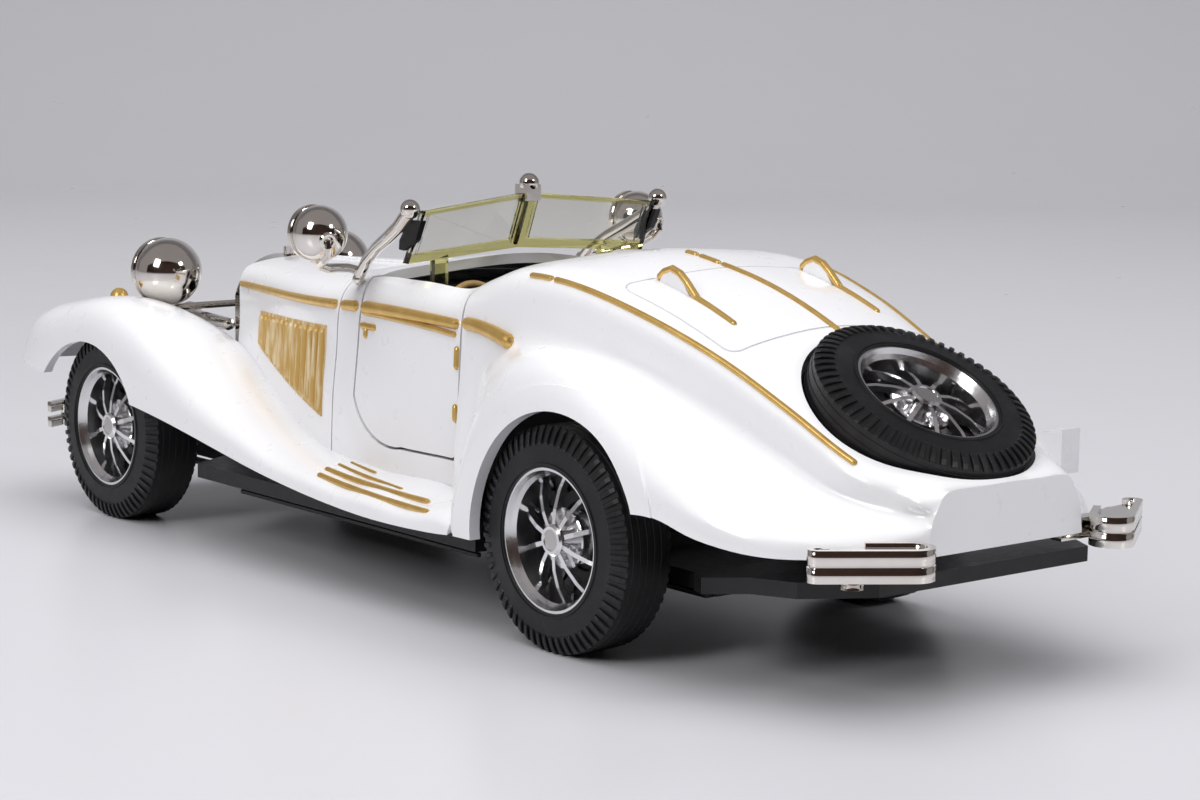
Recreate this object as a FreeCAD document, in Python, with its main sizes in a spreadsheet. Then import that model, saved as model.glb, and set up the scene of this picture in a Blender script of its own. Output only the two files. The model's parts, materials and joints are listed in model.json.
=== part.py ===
"""Die-cast model of a long-bonnet two-seat roadster with its hood down, at 1:28.

Frame: millimetres, +Z up, the car's nose points to -Y, the driver's left side is +X.
The origin is under the middle of the car, on the surface that the tyres stand on.
"""
import FreeCAD, Part
import math
import os

import Sketcher

Vector = FreeCAD.Vector
Rotation = FreeCAD.Rotation
Placement = FreeCAD.Placement

doc = FreeCAD.newDocument("roadster")
sheet = doc.addObject("Spreadsheet::Sheet", "Sizes")
parts = []

# Driving dimensions in millimetres, or degrees where the name says so
SIZES = {
    "wheelbase": 117.5,
    "rear_axle_place": 47.0,
    "tyre_radius": 15.19,
    "tyre_width": 9.4,
    "rear_wheel_tuck": 1.75,
    "front_wheel_tuck": 2.3,
    "rim_radius": 9.67,
    "rim_width": 8.0,
    "rim_lip": 0.75,
    "hub_cap_radius": 2.15,
    "hub_radius": 3.6,
    "spoke_count": 10,
    "spoke_width": 0.62,
    "axle_radius": 1.2,
    "axle_clearance": 0.06,
    "seating_gap": 0.02,
    "panel_wall": 1.5,
    "panel_gap": 0.3,
    "moving_gap": 0.4,
    "radiator_setback": 10.5,
    "cowl_length": 6.5,
    "door_length": 26.5,
    "door_to_axle": 30.5,
    "door_sill": 20.9,
    "tail_length": 51.6,
    "arch_radius": 17.2,
    "arch_band": 3.4,
    "arch_band_proud": 0.35,
    "front_arch_radius": 17.6,
    "body_half_width": 33.5,
    "cockpit_rear": 8.0,
    "base_height": 10.0,
    "base_thickness": 2.2,
    "screw_radius": 1.25,
    "screw_depth": 5.0,
    "screw_boss_radius": 3.2,
    "spare_tilt": 30.5,
    "spare_from_tail": 14.03,
    "spare_height": 37.15,
    "spare_well_gap": 0.7,
    "headlamp_radius": 5.6,
    "headlamp_spread": 17.0,
    "headlamp_height": 39.6,
    "spotlight_radius": 4.1,
    "spotlight_spread": 30.1,
    "spotlight_height": 51.4,
    "radiator_half_width": 9.6,
    "radiator_depth": 5.0,
    "bumper_height": 4.0,
    "bumper_thickness": 1.0,
    "bead_radius": 0.45,
    "lid_groove": 0.32,
    "glass_thickness": 0.8,
    "steering_wheel_radius": 5.2,
    "steering_wheel_rim": 0.5,
}


class Dim(float):
    """A length that remembers the spreadsheet formula it comes from."""

    def __new__(cls, value, text=None):
        dim = float.__new__(cls, value)
        dim.text = text if text is not None else repr(float(value))
        return dim

    def join(self, sign, other, swap=False):
        other = other if isinstance(other, Dim) else Dim(other)
        left, right = (other, self) if swap else (self, other)
        results = {"+": float(left) + float(right), "-": float(left) - float(right),
                   "*": float(left) * float(right)}
        value = results[sign] if sign in results else float(left) / float(right)
        return Dim(value, "(" + left.text + " " + sign + " " + right.text + ")")

    def __add__(self, other):
        return self.join("+", other)

    def __radd__(self, other):
        return self.join("+", other, True)

    def __sub__(self, other):
        return self.join("-", other)

    def __rsub__(self, other):
        return self.join("-", other, True)

    def __mul__(self, other):
        return self.join("*", other)

    def __rmul__(self, other):
        return self.join("*", other, True)

    def __truediv__(self, other):
        return self.join("/", other)

    def __neg__(self):
        return Dim(-float(self), "(0 - " + self.text + ")")


def fill_sheet():
    """Write every driving dimension into its own aliased cell."""
    for row, (name, value) in enumerate(SIZES.items(), start=1):
        sheet.set("A%d" % row, name)
        sheet.set("B%d" % row, str(value))
        sheet.setAlias("B%d" % row, name)
    doc.recompute()


def size(name):
    """Read one driving dimension from the sheet."""
    return Dim(float(sheet.get(name)), "Sizes." + name)


fill_sheet()

# Landmarks along the car, worked out from the driving dimensions
rear_axle = size("rear_axle_place")
front_axle = rear_axle - size("wheelbase")
door_rear = rear_axle - size("door_to_axle")
door_front = door_rear - size("door_length")
bonnet_rear = door_front - size("cowl_length")
bonnet_front = front_axle + size("radiator_setback")
tail_end = rear_axle + size("tail_length")
wall = float(size("panel_wall"))
gap = float(size("panel_gap"))
axle_height = size("tyre_radius")
base_top = float(size("base_height") + size("base_thickness"))
half_tyre = size("tyre_width") / 2

# The body's lines are drawn for this half width, and everything that sits on it widens with it
DRAWN_HALF_WIDTH = 33.5
half_width = size("body_half_width")
breadth = half_width / DRAWN_HALF_WIDTH
SIDES = {"left": 1, "right": -1}


def bonnet_part(share):
    """Station at a share of the way along the bonnet."""
    return bonnet_front + (bonnet_rear - bonnet_front) * share


def quarter_part(share):
    """Station at a share of the way from the door's rear edge to the rear axle."""
    return door_rear + size("door_to_axle") * share


def tail_part(share):
    """Station at a share of the way from the rear axle to the tail."""
    return rear_axle + size("tail_length") * share


def wide(across):
    """Distance from the middle, in proportion to the body's width."""
    return breadth * across


def spot(across, along, height):
    """Point of the car, its distance from the middle in proportion to the body's width."""
    return Vector(float(wide(across)), float(along), float(height))


def keep(obj, label):
    """Name a finished sub-part and list it for export."""
    obj.Label = label
    parts.append(obj)
    return obj


def shape_part(label, shape):
    """Store a free-form shape as a sub-part of the document."""
    obj = doc.addObject("Part::Feature", label)
    obj.Shape = shape
    return keep(obj, label)


def bind(obj, **dims):
    """Bind properties of an object to the sheet's formulas."""
    for name, dim in dims.items():
        obj.setExpression(name.replace("__", "."), dim.text)


def place(obj, x, y, z):
    """Bind an object's position to the sheet's formulas."""
    for axis, dim in (("x", x), ("y", y), ("z", z)):
        dim = dim if isinstance(dim, Dim) else Dim(dim)
        obj.setExpression("Placement.Base." + axis, dim.text)


def turn(obj, axis, angle):
    """Turn an object about an axis through its own origin."""
    obj.Placement = Placement(obj.Placement.Base, Rotation(axis, angle))


def origin_plane(body, role):
    """Find one of a body's own origin planes or axes."""
    for feature in body.Origin.OriginFeatures:
        if feature.Role == role:
            return feature
    raise ValueError(role)


def outline_sketch(body, plane, points, name="Outline"):
    """Draw a closed outline of straight sides, each corner bound to the sheet."""
    sketch = body.newObject("Sketcher::SketchObject", name)
    sketch.AttachmentSupport = [(origin_plane(body, plane), "")]
    sketch.MapMode = "FlatFace"
    count = len(points)
    for index in range(count):
        start = Vector(float(points[index][0]), float(points[index][1]), 0)
        end = Vector(float(points[(index + 1) % count][0]), float(points[(index + 1) % count][1]), 0)
        sketch.addGeometry(Part.LineSegment(start, end), False)
    for index in range(count):
        sketch.addConstraint(Sketcher.Constraint("Coincident", index, 2, (index + 1) % count, 1))
    for index, point in enumerate(points):
        for kind, axis, dim in (("DistanceX", -2, point[0]), ("DistanceY", -1, point[1])):
            pin_corner(sketch, index, kind, axis, dim)
    return sketch


def pin_corner(sketch, index, kind, axis, dim):
    """Hold one corner of an outline at its distance from the sketch's origin."""
    dim = dim if isinstance(dim, Dim) else Dim(dim)
    if abs(float(dim)) < 1e-9:
        sketch.addConstraint(Sketcher.Constraint("PointOnObject", index, 1, axis))
        return
    if float(dim) > 0:
        constraint = Sketcher.Constraint(kind, -1, 1, index, 1, float(dim))
        text = dim.text
    else:
        constraint = Sketcher.Constraint(kind, index, 1, -1, 1, -float(dim))
        text = "0 - " + dim.text
    number = sketch.addConstraint(constraint)
    sketch.setExpression("Constraints[%d]" % number, text)


def turned_body(label, points, plane="XY_Plane", axis="H_Axis"):
    """Turn an outline about a sketch axis into a round body."""
    body = doc.addObject("PartDesign::Body", label)
    sketch = outline_sketch(body, plane, points)
    revolution = body.newObject("PartDesign::Revolution", "Turned")
    revolution.Profile = sketch
    revolution.ReferenceAxis = (sketch, [axis])
    revolution.Angle = 360.0
    sketch.Visibility = False
    return body


def padded_body(label, points, height, plane="XY_Plane"):
    """Raise an outline into a flat-ended body."""
    body = doc.addObject("PartDesign::Body", label)
    sketch = outline_sketch(body, plane, points)
    pad = body.newObject("PartDesign::Pad", "Raised")
    pad.Profile = sketch
    bind(pad, Length=height)
    return body


def box(low, high):
    """Box between two corners."""
    low = Vector(*[float(value) for value in low])
    high = Vector(*[float(value) for value in high])
    return Part.makeBox(high.x - low.x, high.y - low.y, high.z - low.z, low)


def rod(start, end, radius):
    """Straight round bar from one point to another."""
    return Part.makeCylinder(float(radius), (end - start).Length, start, end - start)


def mirrored(shape):
    """Mirror image of a shape across the middle of the car."""
    return shape.mirror(Vector(0, 0, 0), Vector(1, 0, 0))


def both_sides(shape):
    """A shape and its mirror image."""
    return Part.makeCompound([shape, mirrored(shape)])


def largest(shape):
    """Largest solid of a shape that a cut has left in pieces."""
    return max(shape.Solids, key=lambda solid: solid.Volume)


def prism(points, push):
    """Push a closed outline of straight sides along a vector."""
    return Part.Face(Part.makePolygon(points + [points[0]])).extrude(push)


def rounded_face(corners, radius, height):
    """Level face whose corners are rounded."""
    edges = []
    count = len(corners)
    spots = [Vector(float(x), float(y), float(height)) for x, y in corners]
    ends = []
    for index, corner in enumerate(spots):
        back = (spots[index - 1] - corner).normalize()
        ahead = (spots[(index + 1) % count] - corner).normalize()
        half_angle = back.getAngle(ahead) / 2
        start = corner + back * (radius / math.tan(half_angle))
        end = corner + ahead * (radius / math.tan(half_angle))
        inward = (back + ahead).normalize()
        middle = corner + inward * (radius / math.sin(half_angle) - radius)
        edges.append(Part.Arc(start, middle, end).toShape())
        ends.append((start, end))
    for index in range(count):
        edges.append(Part.makeLine(ends[index][1], ends[(index + 1) % count][0]))
    return Part.Face(Part.Wire(Part.__sortEdges__(edges)))


def round_bar(route, start_radius, end_radius=None, count=4):
    """Round bar along a smooth route, evenly tapered, with domed ends."""
    path = Part.BSplineCurve()
    path.interpolate(route)
    length = path.length()
    end_radius = end_radius or start_radius
    dome = [0.05, 0.4, 1.0]
    marks = [share * start_radius for share in dome]
    marks += [length * step / (count - 1) for step in range(1, count - 1)]
    marks += [length - share * end_radius for share in reversed(dome)]
    rings = []
    for mark in marks:
        full = start_radius + (end_radius - start_radius) * mark / length
        from_end = min(mark, length - mark) / full
        radius = full * math.sqrt(1 - (1 - min(from_end, 1.0)) ** 2)
        parameter = path.parameterAtDistance(mark, path.FirstParameter)
        rings.append(ring_across(path.value(parameter), path.tangent(parameter)[0], radius))
    return Part.makeLoft(rings, True, True)


def ring_across(centre, way, radius):
    """Circle square to a direction, always started from the same side."""
    reference = Vector(0, 0, 1) if abs(way.z) < 0.8 else Vector(1, 0, 0)
    first = (reference - way * reference.dot(way)).normalize()
    ring = Part.Wire([Part.makeCircle(radius)])
    ring.Placement = Placement(centre, Rotation(first, way.cross(first), way))
    return ring


def smooth(stations, place_along):
    """Read a flowing line through (station, value) pairs at one place along the car."""
    spots = [float(pair[0]) for pair in stations]
    values = [float(pair[1]) for pair in stations]
    last = len(spots) - 1
    place_along = min(max(float(place_along), spots[0]), spots[last])
    span = max(index for index in range(last) if spots[index] <= place_along)

    def chord(index):
        return (values[index + 1] - values[index]) / (spots[index + 1] - spots[index])

    def slope(index):
        if index == 0:
            return chord(0)
        if index == last:
            return chord(last - 1)
        before = spots[index] - spots[index - 1]
        after = spots[index + 1] - spots[index]
        return (chord(index - 1) * after + chord(index) * before) / (before + after)

    width = spots[span + 1] - spots[span]
    part = (place_along - spots[span]) / width
    rise = values[span + 1] - values[span]
    start = slope(span) * width
    end = slope(span + 1) * width
    curve = 3 * rise - 2 * start - end
    twist = start + end - 2 * rise
    return values[span] + start * part + curve * part ** 2 + twist * part ** 3


def line_at(line, y):
    """Distance from the middle and height of one body line at a station."""
    across = smooth([(entry[0], entry[1]) for entry in line], y)
    height = smooth([(entry[0], entry[2]) for entry in line], y)
    return across * float(breadth), height


# Lines of the body from the bonnet to the tail, as (station, distance from the middle, height)
CROWN = [
    (bonnet_front, 0, 42.6), (bonnet_rear, 0, 45.4), (door_front, 0, 46.6),
    (door_front + 8, 0, 47.6), (door_rear, 0, 47.8), (quarter_part(0.295), 0, 50.2),
    (quarter_part(0.639), 0, 51.0), (quarter_part(0.934), 0, 49.8), (tail_part(0.174), 0, 47.4),
    (tail_part(0.407), 0, 43.0), (tail_part(0.659), 0, 36.2), (tail_part(0.833), 0, 31.0),
    (tail_end, 0, 27.4),
]
DECK_EDGE = [
    (bonnet_front, 7.8, 42.0), (bonnet_rear, 17.6, 44.0), (door_front, 19.6, 44.6),
    (door_front + 14, 20.7, 44.6), (door_rear, 21.2, 44.8), (quarter_part(0.197), 22.0, 46.8),
    (quarter_part(0.393), 22.6, 48.1), (quarter_part(0.705), 22.9, 48.2), (tail_part(0.116), 21.2, 45.0),
    (tail_part(0.388), 18.9, 39.9), (tail_part(0.64), 17.3, 33.8), (tail_part(0.814), 16.0, 29.4),
    (tail_part(0.911), 13.6, 27.9), (tail_end, 10.9, 27.1),
]
WAIST = [
    (bonnet_front, 11.3, 40.2), (bonnet_rear, 21.3, 40.6), (door_front, 21.9, 40.6),
    (door_front + 14, 22.9, 40.7), (door_rear, 23.3, 41.0), (quarter_part(0.262), 24.0, 42.8),
    (quarter_part(0.541), 24.3, 43.9), (quarter_part(0.738), 24.1, 43.8), (tail_part(0.116), 22.3, 41.0),
    (tail_part(0.388), 20.1, 36.0), (tail_part(0.64), 18.4, 30.4), (tail_part(0.814), 17.1, 27.1),
    (tail_part(0.911), 14.8, 26.2), (tail_end, 12.3, 25.6),
]
VALLEY = [
    (bonnet_front, 11.8, 34.0), (bonnet_rear, 22.1, 34.0), (door_front, 22.6, 34.0),
    (door_front + 14, 23.3, 34.0), (door_rear, 23.7, 35.0), (quarter_part(0.262), 24.6, 37.6),
    (quarter_part(0.541), 25.0, 39.6), (quarter_part(0.803), 24.6, 39.8), (tail_part(0.097), 23.0, 38.2),
    (tail_part(0.329), 21.8, 33.8), (tail_part(0.543), 20.4, 29.4), (tail_part(0.736), 18.6, 25.8),
    (tail_part(0.853), 16.6, 24.6), (tail_part(0.93), 14.6, 24.2), (tail_end, 13.2, 24.0),
]
WING_CREST = [
    (bonnet_front, 12.2, 28.0), (bonnet_rear, 22.7, 28.0), (door_front, 23.2, 28.0),
    (door_front + 14, 23.6, 28.0), (door_rear, 23.9, 29.0), (quarter_part(0.197), 24.8, 31.0),
    (quarter_part(0.393), 27.2, 35.0), (quarter_part(0.607), 28.2, 38.0), (quarter_part(0.869), 28.6, 39.2),
    (tail_part(0.058), 28.8, 38.4), (tail_part(0.252), 28.6, 34.4), (tail_part(0.446), 27.9, 29.7),
    (tail_part(0.64), 26.1, 25.4), (tail_part(0.775), 23.1, 23.5), (tail_part(0.872), 19.3, 22.9),
    (tail_part(0.94), 16.1, 22.7), (tail_end, 13.6, 22.5),
]
WING_SHOULDER = [
    (bonnet_front, 12.4, 22.5), (bonnet_rear, 23.0, 22.5), (door_front, 23.5, 22.5),
    (door_front + 14, 23.7, 22.5), (door_rear, 23.9, 23.0), (quarter_part(0.197), 26.0, 23.4),
    (quarter_part(0.393), 31.0, 27.2), (quarter_part(0.607), 32.2, 31.6), (quarter_part(0.869), 32.6, 34.2),
    (tail_part(0.058), 32.7, 34.0), (tail_part(0.252), 32.6, 30.6), (tail_part(0.446), 32.2, 26.4),
    (tail_part(0.64), 30.7, 22.8), (tail_part(0.775), 27.0, 21.6), (tail_part(0.872), 22.2, 21.2),
    (tail_part(0.94), 17.7, 21.1), (tail_end, 13.8, 21.0),
]
SKIRT = [
    (bonnet_front, 12.4, 16.6), (bonnet_rear, 23.1, 16.6), (door_front, 23.5, 16.6),
    (door_front + 14, 23.7, 16.6), (door_rear, 23.9, 16.6), (quarter_part(0.164), 26.4, 15.8),
    (quarter_part(0.361), 33.1, 13.6), (quarter_part(0.607), 33.5, 13.4), (quarter_part(0.869), 33.5, 15.2),
    (tail_part(0.116), 33.5, 18.4), (tail_part(0.291), 33.4, 21.2), (tail_part(0.426), 33.1, 22.0),
    (tail_part(0.581), 32.2, 20.2), (tail_part(0.717), 29.8, 19.2), (tail_part(0.804), 26.7, 19.0),
    (tail_part(0.882), 22.4, 19.3), (tail_part(0.94), 18.2, 19.5), (tail_end, 14.0, 19.4),
]
HULL_LINES = [DECK_EDGE, WAIST, VALLEY, WING_CREST, WING_SHOULDER, SKIRT]


def hull_half(y, inset=0.0, drop=0.0):
    """Half section of the hull at a station, from the crown down to the skirt."""
    crown = smooth([(entry[0], entry[2]) for entry in CROWN], y)
    edge = line_at(DECK_EDGE, y)
    points = [(0.0, crown), (0.58 * edge[0], crown - 0.28 * (crown - edge[1]))]
    points += [line_at(line, y) for line in HULL_LINES]
    points.insert(-1, upright_point(points[-2], points[-1]))
    if inset != 0:
        points = inset_points(points, inset)
        points[-1] = (points[-1][0], points[-1][1] - drop)
    return points


def upright_point(above, end):
    """Point that brings a line down to its end upright."""
    share = 0.4
    return end[0] + (above[0] - end[0]) * share ** 2, end[1] + (above[1] - end[1]) * share


def inset_points(points, inset):
    """Move a half section's points inwards, square to the section."""
    moved = []
    last = len(points) - 1
    for index, (across, height) in enumerate(points):
        before = points[max(index - 1, 0)]
        after = points[min(index + 1, last)]
        along = (after[0] - before[0], after[1] - before[1])
        if index == 0:
            along = (1.0, 0.0)
        length = math.hypot(along[0], along[1])
        moved.append((across + inset * along[1] / length, height - inset * along[0] / length))
    return moved


def section_points(half, y):
    """Half section and its mirror image, as points at a station."""
    other = [(-across, height) for across, height in reversed(half[1:])]
    return [Vector(across, float(y), height) for across, height in other + half]


def mean_spacing(sections):
    """Spacing along a section, shared by all the sections of a loft to keep it even."""
    steps = [0.0] * (len(sections[0]) - 1)
    for points in sections:
        for index in range(len(steps)):
            steps[index] += math.sqrt((points[index + 1] - points[index]).Length)
    marks = [0.0]
    for step in steps:
        marks.append(marks[-1] + step / sum(steps))
    marks[-1] = 1.0
    return marks


def section_curve(points, spacing):
    """Smooth curve through a section's points."""
    curve = Part.BSplineCurve()
    curve.interpolate(Points=points, Parameters=spacing)
    return curve


def closed_wire(curve):
    """Curve closed by a straight line between its ends."""
    start = curve.value(curve.FirstParameter)
    end = curve.value(curve.LastParameter)
    return Part.Wire([curve.toShape(), Part.makeLine(end, start)])


def stations_between(start, end, count):
    """Evenly spaced stations along the car."""
    return [float(start) + (float(end) - float(start)) * step / (count - 1) for step in range(count)]


hull_spacing = mean_spacing([section_points(hull_half(y), y)
                             for y in stations_between(bonnet_front, tail_end, 24)])


def hull_curve(y, inset=0.0, drop=0.0):
    """Section curve of the hull at a station."""
    return section_curve(section_points(hull_half(y, inset, drop), y), hull_spacing)


def hull_loft(stations, inset=0.0, drop=0.0):
    """Loft the hull's sections into one smooth solid."""
    return Part.makeLoft([closed_wire(hull_curve(y, inset, drop)) for y in stations], True, False)


def crossing(curve, start, end):
    """Point where a straight probe meets a section curve."""
    return curve.toShape().distToShape(Part.makeLine(start, end))[1][0][0]


def side_spot(y, z):
    """Point on the hull's left side at a station and height."""
    y = float(y)
    return crossing(hull_curve(y), Vector(5, y, z), Vector(60, y, z))


def deck_spot(across, y):
    """Point on top of the hull at a distance from the middle and a station."""
    y = float(y)
    x = float(wide(across))
    return crossing(hull_curve(y), Vector(x, y, 5), Vector(x, y, 80))


def outline_prism(edges, along, length):
    """Push a closed outline along an axis."""
    return Part.Face(Part.Wire(edges)).extrude(Vector(*along) * float(length))


def door_prism(grow, side):
    """Door outline in side view, pushed out through one side of the body."""
    front = float(door_front) - grow
    rear = float(door_rear) + grow
    sill = float(size("door_sill")) - grow
    top = 60.0
    points = {
        "top_front": (front, top), "low_front": (front, sill + 6.2), "turn": (front + 3.2, sill + 2.2),
        "front_sill": (front + 12.5, sill), "rear_sill": (rear - 2.6, sill),
        "corner": (rear - 0.75, sill + 0.75), "low_rear": (rear, sill + 2.6), "top_rear": (rear, top),
    }
    spots = {name: Vector(0, y, z) for name, (y, z) in points.items()}
    edges = [
        Part.makeLine(spots["top_front"], spots["low_front"]),
        Part.Arc(spots["low_front"], spots["turn"], spots["front_sill"]).toShape(),
        Part.makeLine(spots["front_sill"], spots["rear_sill"]),
        Part.Arc(spots["rear_sill"], spots["corner"], spots["low_rear"]).toShape(),
        Part.makeLine(spots["low_rear"], spots["top_rear"]),
        Part.makeLine(spots["top_rear"], spots["top_front"]),
    ]
    solid = outline_prism(edges, (side, 0, 0), 40)
    solid.translate(Vector(side * (cockpit_half() - grow), 0, 0))
    return solid


def door_swing(side):
    """Drum about the door's hinge line that trims its front edge, so that it clears the cowl."""
    hinge = spot(24.3 * side, door_rear + 0.18, 0)
    return Part.makeCylinder(float(size("door_length")) + 0.2, 60, hinge, Vector(0, 0, 1))


def cockpit_half():
    """Half the width of the cockpit opening, just outside the deck's edge."""
    past_deck_edge = 0.5
    return line_at(DECK_EDGE, door_front)[0] + past_deck_edge


def cockpit_prism():
    """Plan of the cockpit opening, pushed upwards."""
    half = cockpit_half()
    front = float(door_front) + 2.0
    rear = float(door_rear) + float(size("cockpit_rear"))
    bow = 6.5
    round_off = 7.0
    low = 30.0
    corner = round_off * (1 - math.sqrt(0.5))
    edges = [
        Part.Arc(Vector(half, front, low), Vector(0, front + bow, low), Vector(-half, front, low)).toShape(),
        Part.makeLine(Vector(-half, front, low), Vector(-half, rear - round_off, low)),
        Part.Arc(Vector(-half, rear - round_off, low), Vector(corner - half, rear - corner, low),
                 Vector(round_off - half, rear, low)).toShape(),
        Part.makeLine(Vector(round_off - half, rear, low), Vector(half - round_off, rear, low)),
        Part.Arc(Vector(half - round_off, rear, low), Vector(half - corner, rear - corner, low),
                 Vector(half, rear - round_off, low)).toShape(),
        Part.makeLine(Vector(half, rear - round_off, low), Vector(half, front, low)),
    ]
    return outline_prism(edges, (0, 0, 1), 40)


def spare_frame():
    """Centre of the spare wheel's outer face and the way that it faces."""
    tilt = math.radians(float(size("spare_tilt")))
    centre = Vector(0, float(tail_end - size("spare_from_tail")), float(size("spare_height")))
    return centre, Vector(0, math.sin(tilt), math.cos(tilt))


def spare_well(tail_outer):
    """Cup for the spare wheel with a stud for its hub, and the hollow to cut into it."""
    centre, facing = spare_frame()
    radius = float(size("tyre_radius")) + float(size("spare_well_gap"))
    floor = centre - facing * (float(size("tyre_width")) + gap)
    hollow = Part.makeCylinder(radius, 30, floor, facing)
    cup = Part.makeCylinder(radius + wall, 30, floor - facing * wall, facing).common(tail_outer)
    hub_back = centre - facing * float(size("rim_width"))
    stud = rod(floor - facing * wall / 2, hub_back, float(size("hub_radius")) - gap)
    return cup, hollow, stud


def arch_centre():
    """Middle of the rear wheel arch."""
    behind_axle = 3.0
    above_axle = 0.4
    return Vector(0, float(rear_axle) + behind_axle, float(axle_height) + above_axle)


def arch_bands(inner):
    """Raised band round each rear wheel arch."""
    radius = float(size("arch_radius")) + float(size("arch_band"))
    raised = hull_loft(stations_between(quarter_part(0.3), tail_part(0.6), 14),
                       -float(size("arch_band_proud")))
    start = float(wide(24))
    disc = Part.makeCylinder(radius, 20, arch_centre() + Vector(start, 0, 0), Vector(1, 0, 0))
    return both_sides(raised.common(disc).cut(inner))


def lid_groove():
    """Shut line of the deck lid, with its depth measured square to the deck."""
    depth = 0.35
    corner_radius = 2.2
    front = float(rear_axle) - 0.9
    rear = float(tail_part(0.388))
    corners = [(-wide(19.7), front), (wide(19.7), front), (wide(17.7), rear), (-wide(17.7), rear)]
    outer = rounded_face(corners, corner_radius, 30.0)
    groove = outer.cut(outer.makeOffset2D(-float(size("lid_groove")))).extrude(Vector(0, 0, 40))
    return groove.cut(hull_loft(stations_between(quarter_part(0.7), tail_part(0.6), 10), depth))


def hull_skin(start, end, count, overrun=0.0):
    """Solid hull between two stations, its hollow, and the skin between them."""
    outer = hull_loft(stations_between(start, end, count))
    inner_end = end + 1.0 if overrun == 0 else end - overrun
    inner = hull_loft(stations_between(start - 1.0, inner_end, count), wall, 3.0)
    return outer, inner, outer.cut(inner)


def build_hull():
    """Hollow body casting with its openings, and the doors cut from the same skin."""
    tub_outer, tub_inner, tub = hull_skin(bonnet_rear + gap, door_rear, 7)
    tail_outer, tail_inner, tail = hull_skin(door_rear, tail_end, 22, wall)
    cockpit = cockpit_prism()
    tub = tub.cut(cockpit)
    doors = {side: tub.common(door_prism(0.0, side)).common(door_swing(side)) for side in SIDES.values()}
    cup, hollow, stud = spare_well(tail_outer)
    arch = Part.makeCylinder(float(size("arch_radius")), 120, arch_centre() - Vector(60, 0, 0), Vector(1, 0, 0))
    tail = tail.cut(cockpit).fuse(cup)
    for band in arch_bands(tail_inner).Solids:
        tail = tail.fuse(band)
    tail = tail.cut(hollow).fuse(stud).cut(arch).cut(lid_groove())
    shell = tub.fuse(tail)
    for side in SIDES.values():
        shell = shell.cut(door_prism(float(size("moving_gap")), side))
    return tub_outer, tail_outer, largest(shell), doors


def build_bonnet():
    """Bonnet top and sides, one pressing ahead of the cowl."""
    outer, inner, skin = hull_skin(bonnet_front, bonnet_rear, 5)
    return outer, skin


# Lines of the front wing and running board, as (station, distance from the middle, height)
WING_INNER = [
    (front_axle - 31, 19.5, 24.0), (front_axle - 27.5, 15.5, 22.5), (front_axle - 21, 13.8, 22.5),
    (front_axle - 13, 13.2, 23.5), (front_axle, 12.4, 26.0), (bonnet_front, 12.2, 28.6),
    (bonnet_part(0.23), 14.2, 26.0), (bonnet_part(0.506), 17.0, 22.0), (bonnet_part(0.759), 19.4, 18.9),
    (bonnet_part(0.897), 20.9, 17.6), (door_front, 21.9, 17.2), (door_front + 15, 22.8, 17.0),
    (door_rear, 23.3, 17.0), (quarter_part(0.351), 24.5, 17.0),
]
WING_RISE = [
    (front_axle - 31, 21.0, 26.0), (front_axle - 27.5, 17.6, 28.8), (front_axle - 21, 16.4, 31.0),
    (front_axle - 13, 15.8, 32.2), (front_axle, 15.8, 33.0), (bonnet_front, 17.2, 32.0),
    (bonnet_part(0.23), 19.0, 28.8), (bonnet_part(0.506), 21.0, 24.0), (bonnet_part(0.759), 22.6, 20.4),
    (bonnet_part(0.897), 23.5, 18.8), (door_front, 24.5, 17.3), (door_front + 15, 25.3, 16.7),
    (door_rear, 25.7, 16.6), (quarter_part(0.351), 26.2, 16.6),
]
WING_TOP = [
    (front_axle - 31, 24.0, 26.8), (front_axle - 27.5, 24.0, 31.0), (front_axle - 21, 24.2, 33.2),
    (front_axle - 13, 24.5, 34.8), (front_axle, 25.0, 35.9), (bonnet_front, 25.2, 33.7),
    (bonnet_part(0.23), 26.0, 29.9), (bonnet_part(0.506), 27.0, 24.6), (bonnet_part(0.759), 27.6, 20.9),
    (bonnet_part(0.897), 27.9, 19.0), (door_front, 28.3, 17.1), (door_front + 15, 28.6, 16.1),
    (door_rear, 28.8, 15.9), (quarter_part(0.351), 28.9, 15.9),
]
WING_FALL = [
    (front_axle - 31, 27.2, 26.0), (front_axle - 27.5, 29.3, 29.0), (front_axle - 21, 30.8, 30.9),
    (front_axle - 13, 31.5, 32.3), (front_axle, 31.9, 33.2), (bonnet_front, 31.8, 31.2),
    (bonnet_part(0.23), 31.9, 27.2), (bonnet_part(0.506), 32.1, 22.4), (bonnet_part(0.759), 32.3, 19.3),
    (bonnet_part(0.897), 32.3, 17.7), (door_front, 32.4, 16.0), (door_front + 15, 32.5, 14.9),
    (door_rear, 32.5, 14.7), (quarter_part(0.351), 32.5, 14.8),
]
WING_EDGE = [
    (front_axle - 31, 28.5, 24.0), (front_axle - 27.5, 31.3, 23.0), (front_axle - 21, 32.9, 22.6),
    (front_axle - 13, 33.4, 22.0), (front_axle, 33.5, 21.5), (bonnet_front, 33.5, 20.6),
    (bonnet_part(0.23), 33.5, 19.4), (bonnet_part(0.506), 33.5, 17.6), (bonnet_part(0.759), 33.5, 15.8),
    (bonnet_part(0.897), 33.5, 14.9), (door_front, 33.5, 13.6), (door_front + 15, 33.5, 12.5),
    (door_rear, 33.5, 12.4), (quarter_part(0.351), 33.5, 13.0),
]
WING_LINES = [WING_INNER, WING_RISE, WING_TOP, WING_FALL, WING_EDGE]


def wing_points(y):
    """Points across the left front wing at a station, from the body out to its edge."""
    points = [line_at(line, y) for line in WING_LINES]
    points.insert(-1, upright_point(points[-2], points[-1]))
    return [Vector(across, float(y), height) for across, height in points]


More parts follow.
